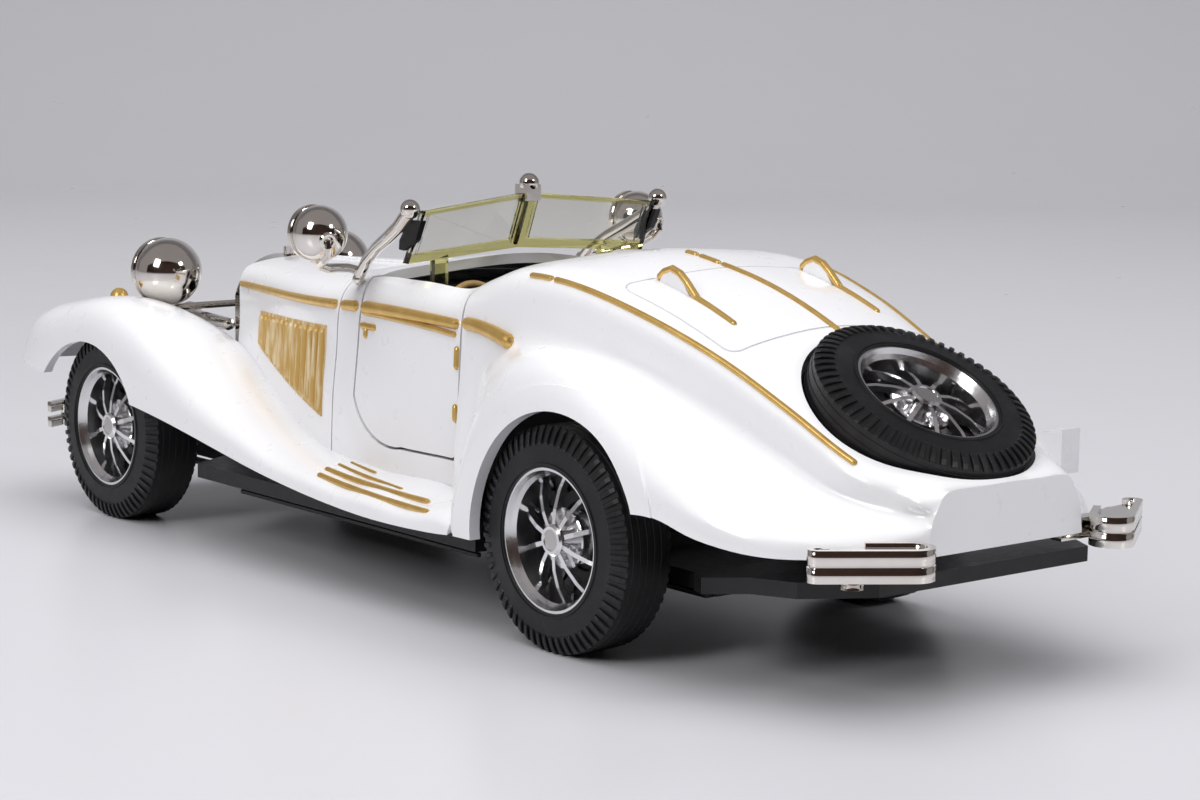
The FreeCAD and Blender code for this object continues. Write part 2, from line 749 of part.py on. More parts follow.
def wing_hollow_points(y):
    """Points of the hollow under the left front wing at a station."""
    points = [line_at(line, y) for line in WING_LINES]
    low = min(points[0][1], points[-1][1]) - 6
    inner, rise, top, fall, edge = points
    inside = [(inner[0] + wall, low), (inner[0] + wall, inner[1]), (rise[0] + 0.6 * wall, rise[1] - wall),
              (top[0], top[1] - wall), (fall[0] - 0.6 * wall, fall[1] - wall), (edge[0] - wall, edge[1]),
              (edge[0] - wall, low)]
    return [Vector(across, float(y), height) for across, height in inside]


def section_loft(sections):
    """Loft sections that share one even spacing of their points."""
    spacing = mean_spacing(sections)
    return Part.makeLoft([closed_wire(section_curve(points, spacing)) for points in sections], True, False)


def build_front_wing(body_outer, bonnet_outer):
    """Left front wing and running board, hollow over the wheel."""
    stations = stations_between(front_axle - 31, front_axle - 27, 3)
    stations += stations_between(front_axle - 24, bonnet_part(0.897), 12)
    stations += stations_between(door_front - 3, quarter_part(0.351), 6)
    outer = section_loft([wing_points(y) for y in stations])
    hollow_stations = stations_between(front_axle - 28.5, bonnet_part(0.32), 9)
    hollow = section_loft([wing_hollow_points(y) for y in hollow_stations])
    arch = Part.makeCylinder(float(size("front_arch_radius")), 30, spot(22, front_axle - 3, 11.3), Vector(1, 0, 0))
    return largest(outer.cut(hollow).cut(arch).cut(body_outer).cut(bonnet_outer))


tub_outer, tail_outer, body_shape, door_shapes = build_hull()
bonnet_outer, bonnet_shape = build_bonnet()
body_outer = tub_outer.fuse(tail_outer)
shape_part("body_shell", body_shape)
shape_part("bonnet", bonnet_shape)
left_wing = build_front_wing(body_outer, bonnet_outer)
wings = {1: left_wing, -1: mirrored(left_wing)}
for side_name, side in SIDES.items():
    shape_part("front_wing_" + side_name, wings[side])


def tyre_body(label):
    """Tyre with rounded shoulders."""
    bore = size("rim_radius") + size("seating_gap")
    tread = size("tyre_radius")
    points = [(0 - half_tyre, bore), (half_tyre, bore), (half_tyre - 0.2, tread - 2.4),
              (half_tyre - 1.2, tread), (1.2 - half_tyre, tread), (0.2 - half_tyre, tread - 2.4)]
    return turned_body(label, points)


def rim_body(label):
    """Rim with its stepped lip, hub, hub cap and slender curved spokes."""
    rim = size("rim_radius")
    back = half_tyre - size("rim_width")
    inner = rim - 1.15
    cap = size("hub_cap_radius")
    body = turned_body(label, [
        (back, inner), (back, rim), (half_tyre - 0.2, rim), (half_tyre - 0.2, rim - size("rim_lip") / 2),
        (half_tyre - 0.9, rim - size("rim_lip")), (half_tyre - 1.5, inner)])
    hub = outline_sketch(body, "XY_Plane", [
        (back, Dim(0)), (back, size("hub_radius")), (half_tyre - 5.2, size("hub_radius")),
        (half_tyre - 5.2, cap), (half_tyre - 0.8, cap), (half_tyre - 0.5, cap - 0.3),
        (half_tyre - 0.5, cap - 0.7), (half_tyre - 0.7, cap - 0.8), (half_tyre - 0.7, Dim(0))], "HubOutline")
    turned = body.newObject("PartDesign::Revolution", "Hub")
    turned.Profile = hub
    turned.ReferenceAxis = (hub, ["H_Axis"])
    turned.Angle = 360.0
    spoke = outline_sketch(body, "XZ_Plane", [
        (half_tyre - 1.0, cap - 0.3), (half_tyre - 1.2, cap + 2.0), (half_tyre - 1.9, cap + 4.4),
        (half_tyre - 3.1, inner + 0.3), (half_tyre - 4.3, inner + 0.3), (half_tyre - 2.8, cap + 4.2),
        (half_tyre - 2.1, cap + 2.0), (half_tyre - 2.0, cap - 0.3)], "SpokeOutline")
    spoke.AttachmentOffset = Placement(Vector(0, 0, -float(size("spoke_width")) / 2), Rotation())
    pad = body.newObject("PartDesign::Pad", "Spoke")
    pad.Profile = spoke
    bind(pad, Length=size("spoke_width"))
    doc.recompute()
    pattern = body.newObject("PartDesign::PolarPattern", "Spokes")
    pattern.Originals = [pad]
    pattern.Axis = (origin_plane(body, "X_Axis"), [""])
    pattern.Angle = 360.0
    bind(pattern, Occurrences=size("spoke_count"))
    body.Tip = pattern
    return body


def drum_body(label):
    """Dark plate that closes the back of a rim, round its hub."""
    back = half_tyre - size("rim_width") + 0.2
    bore = size("hub_radius") + size("seating_gap")
    outside = size("rim_radius") - 1.15 - size("seating_gap")
    return turned_body(label, [(back, bore), (back, outside), (back + 1.0, outside), (back + 1.0, bore)])


def set_wheel(body, x, y, z, rotation):
    """Seat one wheel piece at its axle's end."""
    body.Placement = Placement(Vector(0, 0, 0), rotation)
    place(body, x, y, z)


WHEEL_PIECES = {"tyre": tyre_body, "rim": rim_body, "drum": drum_body}
AXLES = {
    "front": (front_axle, half_width - half_tyre - size("front_wheel_tuck")),
    "rear": (rear_axle, half_width - half_tyre - size("rear_wheel_tuck")),
}
for axle_name, (axle_place, wheel_place) in AXLES.items():
    for side_name, side in SIDES.items():
        rotation = Rotation(Vector(0, 0, 1), 0 if side > 0 else 180)
        for piece, maker in WHEEL_PIECES.items():
            label = axle_name + "_" + piece + "_" + side_name
            wheel_piece = keep(maker(label), label)
            set_wheel(wheel_piece, wheel_place * side, axle_place, axle_height, rotation)
    axle = doc.addObject("Part::Cylinder", axle_name + "_axle")
    reach = wheel_place - size("rim_width") + half_tyre
    bind(axle, Radius=size("axle_radius"), Height=reach * 2)
    turn(axle, Vector(0, 1, 0), 90)
    place(axle, -reach, axle_place, axle_height)
    keep(axle, axle_name + "_axle")

spare_centre, spare_facing = spare_frame()
for piece, maker in WHEEL_PIECES.items():
    label = "spare_" + piece
    wheel_piece = keep(maker(label), label)
    wheel_piece.Placement = Placement(spare_centre - spare_facing * float(half_tyre),
                                      Rotation(Vector(1, 0, 0), spare_facing))


def side_bead(spots, radius, carrier, end_radius=None):
    """Half-round moulding along the left side through (station, height) pairs."""
    route = [side_spot(y, z) for y, z in spots]
    return round_bar(route, radius, end_radius, 2 * len(spots)).cut(carrier)


BELT_LINE = [(bonnet_front, 38.6), (bonnet_rear, 39.8), (door_front, 40.1), (door_front + 14, 40.3),
             (door_rear, 40.1)]


def belt(y):
    """Station and height of the belt moulding's middle."""
    return y, smooth(BELT_LINE, y)


def build_mouldings():
    """Gilt mouldings along the belt: bonnet, cowl, door and quarter."""
    split = 0.45
    bonnet = [belt(y) for y in stations_between(bonnet_front + 0.6, bonnet_rear - split, 5)]
    cowl = [belt(y) for y in stations_between(bonnet_rear + gap + split, door_front - 2 * split, 3)]
    quarter = [(door_rear + 2 * split, 40.5), (door_rear + 3.5, 40.5), (door_rear + 7.5, 40.2),
               (door_rear + 14, 39.0)]
    fixed = [side_bead(bonnet, 0.5, bonnet_outer, 0.75), side_bead(cowl, 0.75, tub_outer, 0.85),
             side_bead(quarter, 0.9, tail_outer, 1.1)]
    door = [belt(y) for y in stations_between(door_front + split, door_rear - split, 5)]
    lip = [(door_front + split, 39.3), (door_front + 14, 39.2), (door_rear - 1.0, 38.6)]
    strip = side_bead(door, 0.95, tub_outer, 0.75).fuse(side_bead(lip, 0.4, tub_outer))
    return both_sides(Part.makeCompound(fixed)), strip


mouldings, door_strip = build_mouldings()
shape_part("waist_mouldings", mouldings)


def build_door_fittings():
    """Gilt handle and two hinge barrels of the left door."""
    bar = round_bar([side_spot(door_front + 0.3, 37.4), side_spot(door_front + 2.4, 37.4),
                     side_spot(door_front + 4.6, 37.4)], 0.5)
    stub = round_bar([side_spot(door_front + 1.9, 37.2), side_spot(door_front + 1.9, 36.4),
                      side_spot(door_front + 1.9, 35.6)], 0.45)
    handle = bar.fuse(stub).cut(tub_outer)
    barrels = []
    for low, high in ((26.2, 28.9), (33.7, 37.1)):
        middle = (low + high) / 2
        route = [side_spot(door_rear - 0.55, z) for z in (low, middle, high)]
        barrels.append(round_bar(route, 0.5).cut(tub_outer))
    return Part.makeCompound([handle] + barrels)


fittings = build_door_fittings()
for side_name, side in SIDES.items():
    shape_part("door_" + side_name, door_shapes[side])
    shape_part("door_moulding_" + side_name, door_strip if side > 0 else mirrored(door_strip))
    shape_part("door_fittings_" + side_name, fittings if side > 0 else mirrored(fittings))


def build_louvres():
    """Ribbed gilt panel on the left side of the bonnet."""
    front = float(bonnet_part(0.255))
    rear = float(bonnet_part(0.926))
    low_front, low_rear, high_front, high_rear = 29.5, 22.5, 35.3, 36.3
    outline = [Vector(5, front, low_front), Vector(5, rear, low_rear), Vector(5, rear, high_rear),
               Vector(5, front, high_front)]
    raised = hull_loft(stations_between(bonnet_front, bonnet_rear, 5), -0.15)
    panel = raised.common(prism(outline, Vector(30, 0, 0)))
    count = 14
    pitch = (rear - front) / count
    for index in range(count):
        along = (index + 0.5) / count
        low = low_front + (low_rear - low_front) * along + 0.4
        high = high_front + (high_rear - high_front) * along - 0.4
        y = front + pitch * (index + 0.5)
        route = [side_spot(y, z) for z in (low, (low + high) / 2, high)]
        panel = panel.fuse(round_bar(route, pitch * 0.36))
    return largest(panel.cut(bonnet_outer))


shape_part("bonnet_louvres", both_sides(build_louvres()))


def board_spot(across, y):
    """Point on top of the left running board."""
    points = wing_points(y)
    x = float(wide(across))
    curve = section_curve(points, mean_spacing([points]))
    return crossing(curve, Vector(x, float(y), 0), Vector(x, float(y), 60))


def build_step_strips():
    """Four gilt strips along the left running board, each shorter than the one outside it."""
    strips = []
    for front, rear, across_front, across_rear, radius in (
            (2.6, 30.9, 31.4, 32.0, 0.45), (1.7, 27.7, 29.5, 29.6, 0.45),
            (1.3, 19.3, 27.0, 28.2, 0.32), (1.4, 8.9, 24.8, 25.6, 0.28)):
        route = []
        for share in (0.0, 0.33, 0.67, 1.0):
            across = across_front + (across_rear - across_front) * share
            route.append(board_spot(across, door_front + front + (rear - front) * share))
        strips.append(round_bar(route, radius, None, 6).cut(left_wing))
    return Part.makeCompound([largest(strip) for strip in strips])


shape_part("step_strips", both_sides(build_step_strips()))


def base_plate():
    """Plastic base under the car, narrow between the wheels."""
    outline = [
        (12.0, rear_axle + 16), (19.5, rear_axle + 16), (19.5, rear_axle - 18), (28.5, rear_axle - 20),
        (28.5, bonnet_front + 14), (17.5, bonnet_front + 8), (17.5, front_axle - 18), (9.0, front_axle - 22)]
    points = outline + [(0 - across, along) for across, along in reversed(outline)]
    points = [(wide(across), along) for across, along in points]
    body = padded_body("base_blank", points, size("base_thickness"))
    place(body, Dim(0), Dim(0), size("base_height"))
    return body


def rear_apron():
    """Rear of the base, sloping up under the tail."""
    front = float(rear_axle) + 15.9
    rear = float(tail_end) - 3.1
    under = [(front, 10.0), (front, base_top), (front + 16, 15.0), (rear, 16.6), (rear, 14.6), (front + 16, 12.9)]
    slope = prism([Vector(-60, y, z) for y, z in under], Vector(120, 0, 0))
    plan = [(12.0, front), (20.0, front), (25.0, front + 7), (25.0, rear - 8), (19.0, rear)]
    corners = [spot(x, y, 0) for x, y in plan] + [spot(-x, y, 0) for x, y in reversed(plan)]
    return slope.common(prism(corners, Vector(0, 0, 30)))


def axle_blocks():
    """Blocks of the base that the axles run through."""
    blocks = []
    for y in (front_axle, rear_axle):
        block = box((wide(14), y - 3, base_top), (wide(17.4), y + 3, axle_height + 3))
        blocks += [block, mirrored(block)]
    return blocks


def underside_relief():
    """Exhaust pipe and silencer moulded on the underside."""
    height = float(size("base_height"))
    pipe = rod(spot(9, bonnet_front + 12, height), spot(9, rear_axle + 14, height), 0.9)
    silencer = rod(spot(9, door_rear - 8, height), spot(9, door_rear + 10, height), 1.8)
    return pipe.fuse(silencer)


def build_base():
    """Whole base: plate, apron, sill rails, axle bearings and screw bosses."""
    blank = base_plate()
    doc.recompute()
    base = blank.Shape.copy()
    doc.removeObject(blank.Name)
    rail = box((wide(21.8), bonnet_rear + 1, base_top), (wide(23.3), door_rear - 1, 16.6))
    tunnel = box((wide(-8.5), front_axle - 15, base_top), (wide(8.5), front_axle - 4, 17.0))
    pieces = [rear_apron(), rail, mirrored(rail), tunnel, underside_relief()] + axle_blocks()
    for piece in pieces:
        base = base.fuse(piece)
    bearing_radius = float(size("axle_radius") + size("axle_clearance"))
    for y in (front_axle, rear_axle):
        base = base.cut(rod(Vector(-60, float(y), float(axle_height)), Vector(60, float(y), float(axle_height)),
                            bearing_radius))
    for y in SCREW_PLACES:
        foot = Vector(0, float(y), float(size("base_height")))
        boss = rod(foot, foot + Vector(0, 0, float(size("screw_depth"))), size("screw_boss_radius"))
        screw = rod(foot - Vector(0, 0, 5), foot + Vector(0, 0, 25), size("screw_radius"))
        base = base.fuse(boss).cut(screw)
    return largest(base.cut(body_shape))


SCREW_PLACES = (rear_axle - 26, bonnet_rear - 12.5)
base_shape = build_base()
shape_part("chassis_base", base_shape)


def arched_outline(half, low, shoulder, high, y):
    """Face of a radiator outline with an arched top."""
    left, right = Vector(-half, y, shoulder), Vector(half, y, shoulder)
    crown = Vector(0, y, high)
    edges = [Part.makeLine(Vector(-half, y, low), left),
             Part.Arc(left, Vector(-half * 0.62, y, shoulder + (high - shoulder) * 0.78), crown).toShape(),
             Part.Arc(crown, Vector(half * 0.62, y, shoulder + (high - shoulder) * 0.78), right).toShape(),
             Part.makeLine(right, Vector(half, y, low)),
             Part.makeLine(Vector(half, y, low), Vector(-half, y, low))]
    return Part.Face(Part.Wire(edges))


def build_radiator():
    """Tall arched radiator surround with a filler cap, and its vertical slats."""
    half = float(wide(size("radiator_half_width")))
    back = float(bonnet_front)
    depth = float(size("radiator_depth"))
    front = back - depth
    frame_width = 1.5
    shell = arched_outline(half, base_top, 36.0, 42.6, back).extrude(Vector(0, -depth, 0))
    window = arched_outline(half - frame_width, 18.0, 35.6, 42.6 - frame_width, front + 2.2)
    shell = shell.cut(window.extrude(Vector(0, -5, 0)))
    cap = rod(Vector(0, front + 2.2, 41.5), Vector(0, front + 2.2, 43.9), 1.3)
    slats = []
    count = 11
    pitch = 2 * (half - frame_width) / (count + 1)
    for index in range(count):
        x = pitch * (index + 1) - (half - frame_width)
        slat = box((x - 0.25, front + 0.9, 18.0), (x + 0.25, front + 2.2, 60.0))
        slats.append(slat.common(window.extrude(Vector(0, -5, 0))))
    return shell.fuse(cap), Part.makeCompound(slats)


radiator, slats = build_radiator()
shape_part("radiator_surround", radiator)
shape_part("radiator_slats", slats)


def lamp(centre, radius, face_ahead):
    """Ball lamp that faces forwards: its shell with a bezel, and its domed glass."""
    face = centre.y - face_ahead
    mouth = math.sqrt(radius ** 2 - face_ahead ** 2)
    shell = Part.makeSphere(radius, centre).common(box((centre.x - 20, face, 0), (centre.x + 20, centre.y + 20, 90)))
    bezel = rod(Vector(centre.x, face, centre.z), Vector(centre.x, face - 0.7, centre.z), mouth)
    bezel = bezel.cut(rod(Vector(centre.x, face, centre.z), Vector(centre.x, face - 0.7, centre.z), mouth - 0.5))
    dome_radius = 2.0 * mouth
    dome = Part.makeSphere(dome_radius, Vector(centre.x, face - 0.4 - 0.27 * mouth + dome_radius, centre.z))
    glass = rod(Vector(centre.x, face, centre.z), Vector(centre.x, face - 6, centre.z), mouth - 0.5).common(dome)
    return shell.fuse(bezel), glass


def build_headlamps():
    """Left headlamp on the wing's shoulder, and the bar that joins the pair."""
    radius = float(size("headlamp_radius"))
    stem_radius = 1.5
    centre = spot(size("headlamp_spread"), front_axle - 3.5, size("headlamp_height"))
    shell, glass = lamp(centre, radius, 2.0)
    stem = rod(centre - Vector(0, 0, radius - 0.4), centre - Vector(0, 0, radius + 4.0), stem_radius)
    shell = largest(shell.fuse(stem).cut(left_wing))
    bar_radius = 0.6
    bar_height = centre.z - radius - 0.45
    reach = centre.x - stem_radius
    bar = rod(Vector(-reach, centre.y, bar_height), Vector(reach, centre.y, bar_height), bar_radius)
    stay = rod(Vector(0, centre.y, bar_height),
               Vector(0, float(bonnet_front - size("radiator_depth")), bar_height), bar_radius)
    return shell, glass.cut(left_wing), bar.fuse(stay)


headlamp, headlamp_glass, lamp_bar = build_headlamps()
shape_part("headlamps", both_sides(headlamp))
shape_part("headlamp_glasses", both_sides(headlamp_glass))
shape_part("lamp_bar", lamp_bar)


def build_horn():
    """Left horn, a trumpet under the lamp bar."""
    height = float(size("headlamp_height")) - 8.4
    tube = round_bar([spot(10.5, bonnet_front - 4.5, height), spot(10.5, bonnet_front - 10, height),
                      spot(10.5, bonnet_front - 17, height)], 1.0, 1.5)
    bell = Part.makeCone(1.4, 2.6, 2.6, spot(10.5, bonnet_front - 15.5, height), Vector(0, -1, 0))
    return largest(tube.fuse(bell).cut(left_wing))


shape_part("horns", both_sides(build_horn()))

marker = Part.makeSphere(1.5, spot(24.0, front_axle - 7.5, 35.4))
shape_part("wing_lamps", both_sides(largest(marker.cut(left_wing))))


def bow_bar(half_span, front, sweep, low, high, thick):
    """Bumper bar bowed forwards in plan."""
    ends = front + sweep
    outer = Part.Arc(Vector(-half_span, ends, low), Vector(0, front, low), Vector(half_span, ends, low))
    inner = Part.Arc(Vector(-half_span, ends + thick, low), Vector(0, front + thick, low),
                     Vector(half_span, ends + thick, low))
    edges = [outer.toShape(), Part.makeLine(Vector(half_span, ends, low), Vector(half_span, ends + thick, low)),
             inner.toShape(), Part.makeLine(Vector(-half_span, ends + thick, low), Vector(-half_span, ends, low))]
    return outline_prism(edges, (0, 0, 1), high - low)


def build_front_bumper():
    """Two bowed bars on two arms from the base."""
    front = float(front_axle) - 32.4
    half_span = float(wide(28.0))
    bumper = bow_bar(half_span, front, 7.0, 11.6, 13.3, 1.3)
    bumper = bumper.fuse(bow_bar(half_span, front, 7.0, 14.2, 15.9, 1.3))
    arm = box((wide(6.7), front + 1.1, 11.9), (wide(8.3), front_axle - 20.0, 15.6)).cut(base_shape)
    tie = rod(spot(24.5, front + 6.4, 11.6), spot(24.5, front + 6.4, 15.9), 0.6)
    for piece in (arm, tie):
        bumper = bumper.fuse(piece).fuse(mirrored(piece))
    return bumper


shape_part("front_bumper", build_front_bumper())


def half_ring(middle, outer, thick, low, high, keep_low, keep_high):
    """Part of an upright ring that lies between two corners of its plan."""
    ring = Part.makeCylinder(outer, high - low, middle + Vector(0, 0, low), Vector(0, 0, 1))
    ring = ring.cut(Part.makeCylinder(outer - thick, high - low, middle + Vector(0, 0, low), Vector(0, 0, 1)))
    return ring.common(box((keep_low[0], keep_low[1], low), (keep_high[0], keep_high[1], high)))


def scroll_band(low, high, sink):
    """One level of the rear bumper: a bar that loops back at one end and curls at the other."""
    loop = 2.9
    curl = 1.35
    inner_end, outer_end = -5.0, 6.55
    thick = float(size("bumper_thickness")) - sink
    loop_face, curl_face = loop - sink, curl - sink
    band = box((inner_end, loop_face - thick, low), (outer_end, loop_face, high))
    band = band.fuse(box((inner_end, -loop_face, low), (0.3, -loop_face + thick, high)))
    band = band.fuse(half_ring(Vector(inner_end, 0, 0), loop_face, thick, low, high, (-20, -20), (inner_end, 20)))
    curl_middle = Vector(outer_end, loop - curl, 0)
    band = band.fuse(half_ring(curl_middle, curl_face, thick * 0.8, low, high, (outer_end, -20), (20, 20)))
    return band.fuse(half_ring(curl_middle, curl_face, thick * 0.8, low, high, (0, -20), (outer_end, loop - curl)))


def build_rear_bumper():
    """Left rear bumper half: two stacked scrolls, a bright plate inside them, a stud and an arm."""
    low = 17.6
    high = low + float(size("bumper_height"))
    middle = (low + high) / 2
    groove = 0.2
    bumper = scroll_band(low, middle - groove, 0).fuse(scroll_band(middle + groove, high, 0))
    bumper = bumper.fuse(scroll_band(middle - groove, middle + groove, 0.3))
    plate = [(-5, -2.2), (0.2, -2.2), (5.6, 0.6), (6.6, 2.2), (-5, 2.2)]
    floor = prism([Vector(x, y, high - 1.1) for x, y in plate], Vector(0, 0, 0.6))
    floor = floor.fuse(Part.makeCylinder(2.2, 0.6, Vector(-5, 0, high - 1.1)))
    stud = Part.makeCylinder(1.45, high - 17.0, Vector(2.1, -0.2, 16.4))
    bumper = bumper.fuse(floor).fuse(stud)
    bumper.rotate(Vector(0, 0, 0), Vector(0, 0, 1), -35)
    bumper.translate(spot(22.3, tail_end - 1.5, 0))
    arm = box((wide(12.0), tail_end - 3.4, 18.2), (wide(19.6), tail_end - 1.6, 20.9)).cut(tail_outer)
    arm = max(arm.Solids, key=lambda solid: solid.BoundBox.XMax)
    return largest(bumper.fuse(arm))


shape_part("rear_bumpers", both_sides(build_rear_bumper()))


def screen_spot(across, up):
    """Point of the screen's left half, by shares of its width and its height."""
    low_middle, low_outer = spot(0, door_front + 8.2, 48.6), spot(22.0, door_front + 11.1, 47.4)
    high_middle, high_outer = spot(0, door_front + 11.5, 57.0), spot(21.5, door_front + 14.6, 55.2)
    low = low_middle + (low_outer - low_middle) * across
    high = high_middle + (high_outer - high_middle) * across
    return low + (high - low) * up


def screen_strip(across, up, thick):
    """Flat piece of the screen between shares of its width and height, centred on its middle plane."""
    corners = [screen_spot(across[0], up[0]), screen_spot(across[1], up[0]), screen_spot(across[1], up[1]),
               screen_spot(across[0], up[1])]
    shift = Vector(0, thick / 2, 0)
    front = [corner - shift for corner in corners]
    back = [corner + shift for corner in corners]
    faces = [Part.Face(Part.makePolygon([front[0], front[1], front[2], front[0]])),
             Part.Face(Part.makePolygon([front[0], front[2], front[3], front[0]])),
             Part.Face(Part.makePolygon([back[0], back[1], back[2], back[0]])),
             Part.Face(Part.makePolygon([back[0], back[2], back[3], back[0]]))]
    for index in range(4):
        after = (index + 1) % 4
        faces.append(Part.Face(Part.makePolygon([front[index], front[after], back[after], back[index],
                                                 front[index]])))
    solid = Part.Solid(Part.Shell(faces))
    if solid.Volume < 0:
        solid.reverse()
    return solid


def build_screen():
    """Left half of the clear screen: a thin pane with thicker edges, and a foot on the dashboard."""
    thin = float(size("glass_thickness"))
    thick = 1.5
    screen = screen_strip((0.0, 1.0), (0.0, 1.0), thin)
    for across, up in (((0.0, 1.0), (0.0, 0.18)), ((0.0, 1.0), (0.93, 1.0)), ((0.0, 0.07), (0.0, 1.0)),
                       ((0.95, 1.0), (0.0, 1.0))):
        screen = screen.fuse(screen_strip(across, up, thick))
    foot_top = screen_spot(0.71, 0.08)
    foot = box((foot_top.x - 1.2, foot_top.y - 0.6, DASH_TOP), (foot_top.x + 1.2, foot_top.y + 0.6, foot_top.z))
    return screen.fuse(foot)


def build_screen_frame():
    """Chrome posts at the ends of the screen and the clip on its middle."""
    foot = spot(20.9, door_front - 2.4, 43.9)
    head = spot(23.25, door_front + 13.9, 55.5)
    post = round_bar([foot, spot(21.3, door_front + 0.5, 47.2), spot(22.5, door_front + 8, 51.3), head], 0.8, 1.1, 6)
    post = post.fuse(Part.makeSphere(1.45, head)).fuse(Part.makeSphere(0.95, foot))
    top = screen_spot(0.0, 1.0)
    clip = Part.makeSphere(1.5, top + Vector(0, 0.2, 1.4)).fuse(
        box((-1.3, top.y - 1.5, top.z - 1.2), (1.3, top.y + 1.4, top.z + 1.2)))
    spine_low = screen_spot(0.0, 0.1) - Vector(0, 1.2, 0)
    spine = rod(spine_low, top - Vector(0, 1.0, 0.3), 0.6)
    return post.fuse(mirrored(post)), clip.fuse(spine)


def build_screen_pads():
    """Black six-sided pads inside the left post."""
    outline = [(12.4, 53.8), (15.6, 53.9), (14.2, 51.0), (11.2, 49.3), (10.1, 49.4), (10.2, 50.7)]
    points = [spot(21.6, door_front + y, z) for y, z in outline]
    return prism(points, Vector(0.9, 0, 0))


DASH_TOP = 43.4


def build_dashboard():
    """Dashboard with a curved rear edge and four round dials sunk in its face."""
    front = float(door_front) + 1.2
    reach = float(door_front) + 11.0
    half = float(wide(18.0))
    shelf_edges = [Part.Arc(Vector(-half, reach, 42.2), Vector(0, reach - 5.0, 42.2), Vector(half, reach, 42.2)).toShape(),
                   Part.makeLine(Vector(half, reach, 42.2), Vector(half, front, 42.2)),
                   Part.makeLine(Vector(half, front, 42.2), Vector(-half, front, 42.2)),
                   Part.makeLine(Vector(-half, front, 42.2), Vector(-half, reach, 42.2))]
    shelf = outline_prism(shelf_edges, (0, 0, 1), DASH_TOP - 42.2)
    panel = outline_prism([edge.translated(Vector(0, -1.2, -6.2)) for edge in shelf_edges], (0, 0, 1), 6.2)
    dash = panel.common(box((-half, front, 30), (half, 40, 60))).fuse(shelf)
    for across in (-11.5, -4.0, 4.0, 13.5):
        centre = spot(across, 0, 39.2)
        dial = rod(Vector(centre.x, float(door_front) + 4.4 + 0.014 * across ** 2, centre.z),
                   Vector(centre.x, 20, centre.z), 1.9)
        dash = dash.cut(dial)
    return largest(dash.cut(body_shape))


dash_shape = build_dashboard()
screen = build_screen()
posts, clip = build_screen_frame()
frame_shape = posts.fuse(clip).cut(tub_outer)
pad = build_screen_pads().cut(frame_shape)
shape_part("windscreen_frame", frame_shape)
shape_part("screen_pads", both_sides(largest(pad)))
glass = screen.fuse(mirrored(screen)).removeSplitter().cut(frame_shape).cut(both_sides(pad)).cut(dash_shape)
shape_part("windscreen_glass", largest(glass))
shape_part("dashboard", dash_shape)


def build_spotlight():
    """Left spotlight on its curved arm from the post's foot."""
    centre = spot(size("spotlight_spread"), door_front + 1.0, size("spotlight_height"))
    shell, glass = lamp(centre, float(size("spotlight_radius")), 1.6)
    arm = round_bar([centre - Vector(0, 1.6, 3.5), spot(28.6, door_front - 1.2, 46.4),
                     spot(25.0, door_front - 2.2, 45.8), spot(20.8, door_front - 2.4, 45.0)], 0.7, 0.7, 6)
    shell = shell.fuse(arm).cut(frame_shape).cut(tub_outer)
    return largest(shell), glass


spotlight, spotlight_glass = build_spotlight()
shape_part("spotlights", both_sides(spotlight))
shape_part("spotlight_glasses", both_sides(spotlight_glass))


def build_tray():
    """Cabin tray: floor on the base, bulkhead ahead and wall behind the seats."""
    floor = box((wide(-19.6), bonnet_rear + 1.5, base_top), (wide(19.6), door_rear + 12, base_top + 1.5))
    rear_wall = box((wide(-19.2), door_rear + 3.0, base_top + 1.5), (wide(19.2), door_rear + 4.4, 42.0))
    bulkhead = box((wide(-18.6), bonnet_rear, base_top), (wide(18.6), bonnet_rear + 1.5, 38.0))
    tray = floor.fuse(rear_wall).fuse(bulkhead)
    boss_hole = float(size("screw_boss_radius")) + gap
    for y in SCREW_PLACES:
        tray = tray.cut(rod(Vector(0, float(y), 0), Vector(0, float(y), 30), boss_hole))
    return largest(tray.cut(body_shape))


def soft_box(low, high, radius):
    """Box whose edges are rounded, apart from those of its underside."""
    block = box(low, high)
    edges = [edge for edge in block.Edges if edge.BoundBox.ZMax > float(low[2]) + 0.1]
    return block.makeFillet(radius, edges)


def build_seat():
    """Left seat: cushion and back with sewn channels, as moulded."""
    near, far = float(wide(1.2)), float(wide(18.0))
    cushion = soft_box((near, door_front + 8, base_top + 1.5), (far, door_rear - 3.2, 25.0), 1.4)
    back = soft_box((near, door_rear - 4.0, base_top + 1.5), (far, door_rear + 0.2, 43.0), 1.6)
    back.rotate(Vector(0, float(door_rear) - 4.0, base_top + 1.5), Vector(1, 0, 0), -4)
    seat = cushion.fuse(back)
    channels = 6
    for index in range(1, channels):
        x = near + (far - near) * index / channels
        seat = seat.cut(rod(Vector(x, float(door_front) + 6, 25.15), Vector(x, float(door_rear) - 3.4, 25.15), 0.4))
    return seat


tray_shape = build_tray()
shape_part("cabin_tray", tray_shape)
seat = build_seat().cut(tray_shape)
shape_part("seats", both_sides(seat))


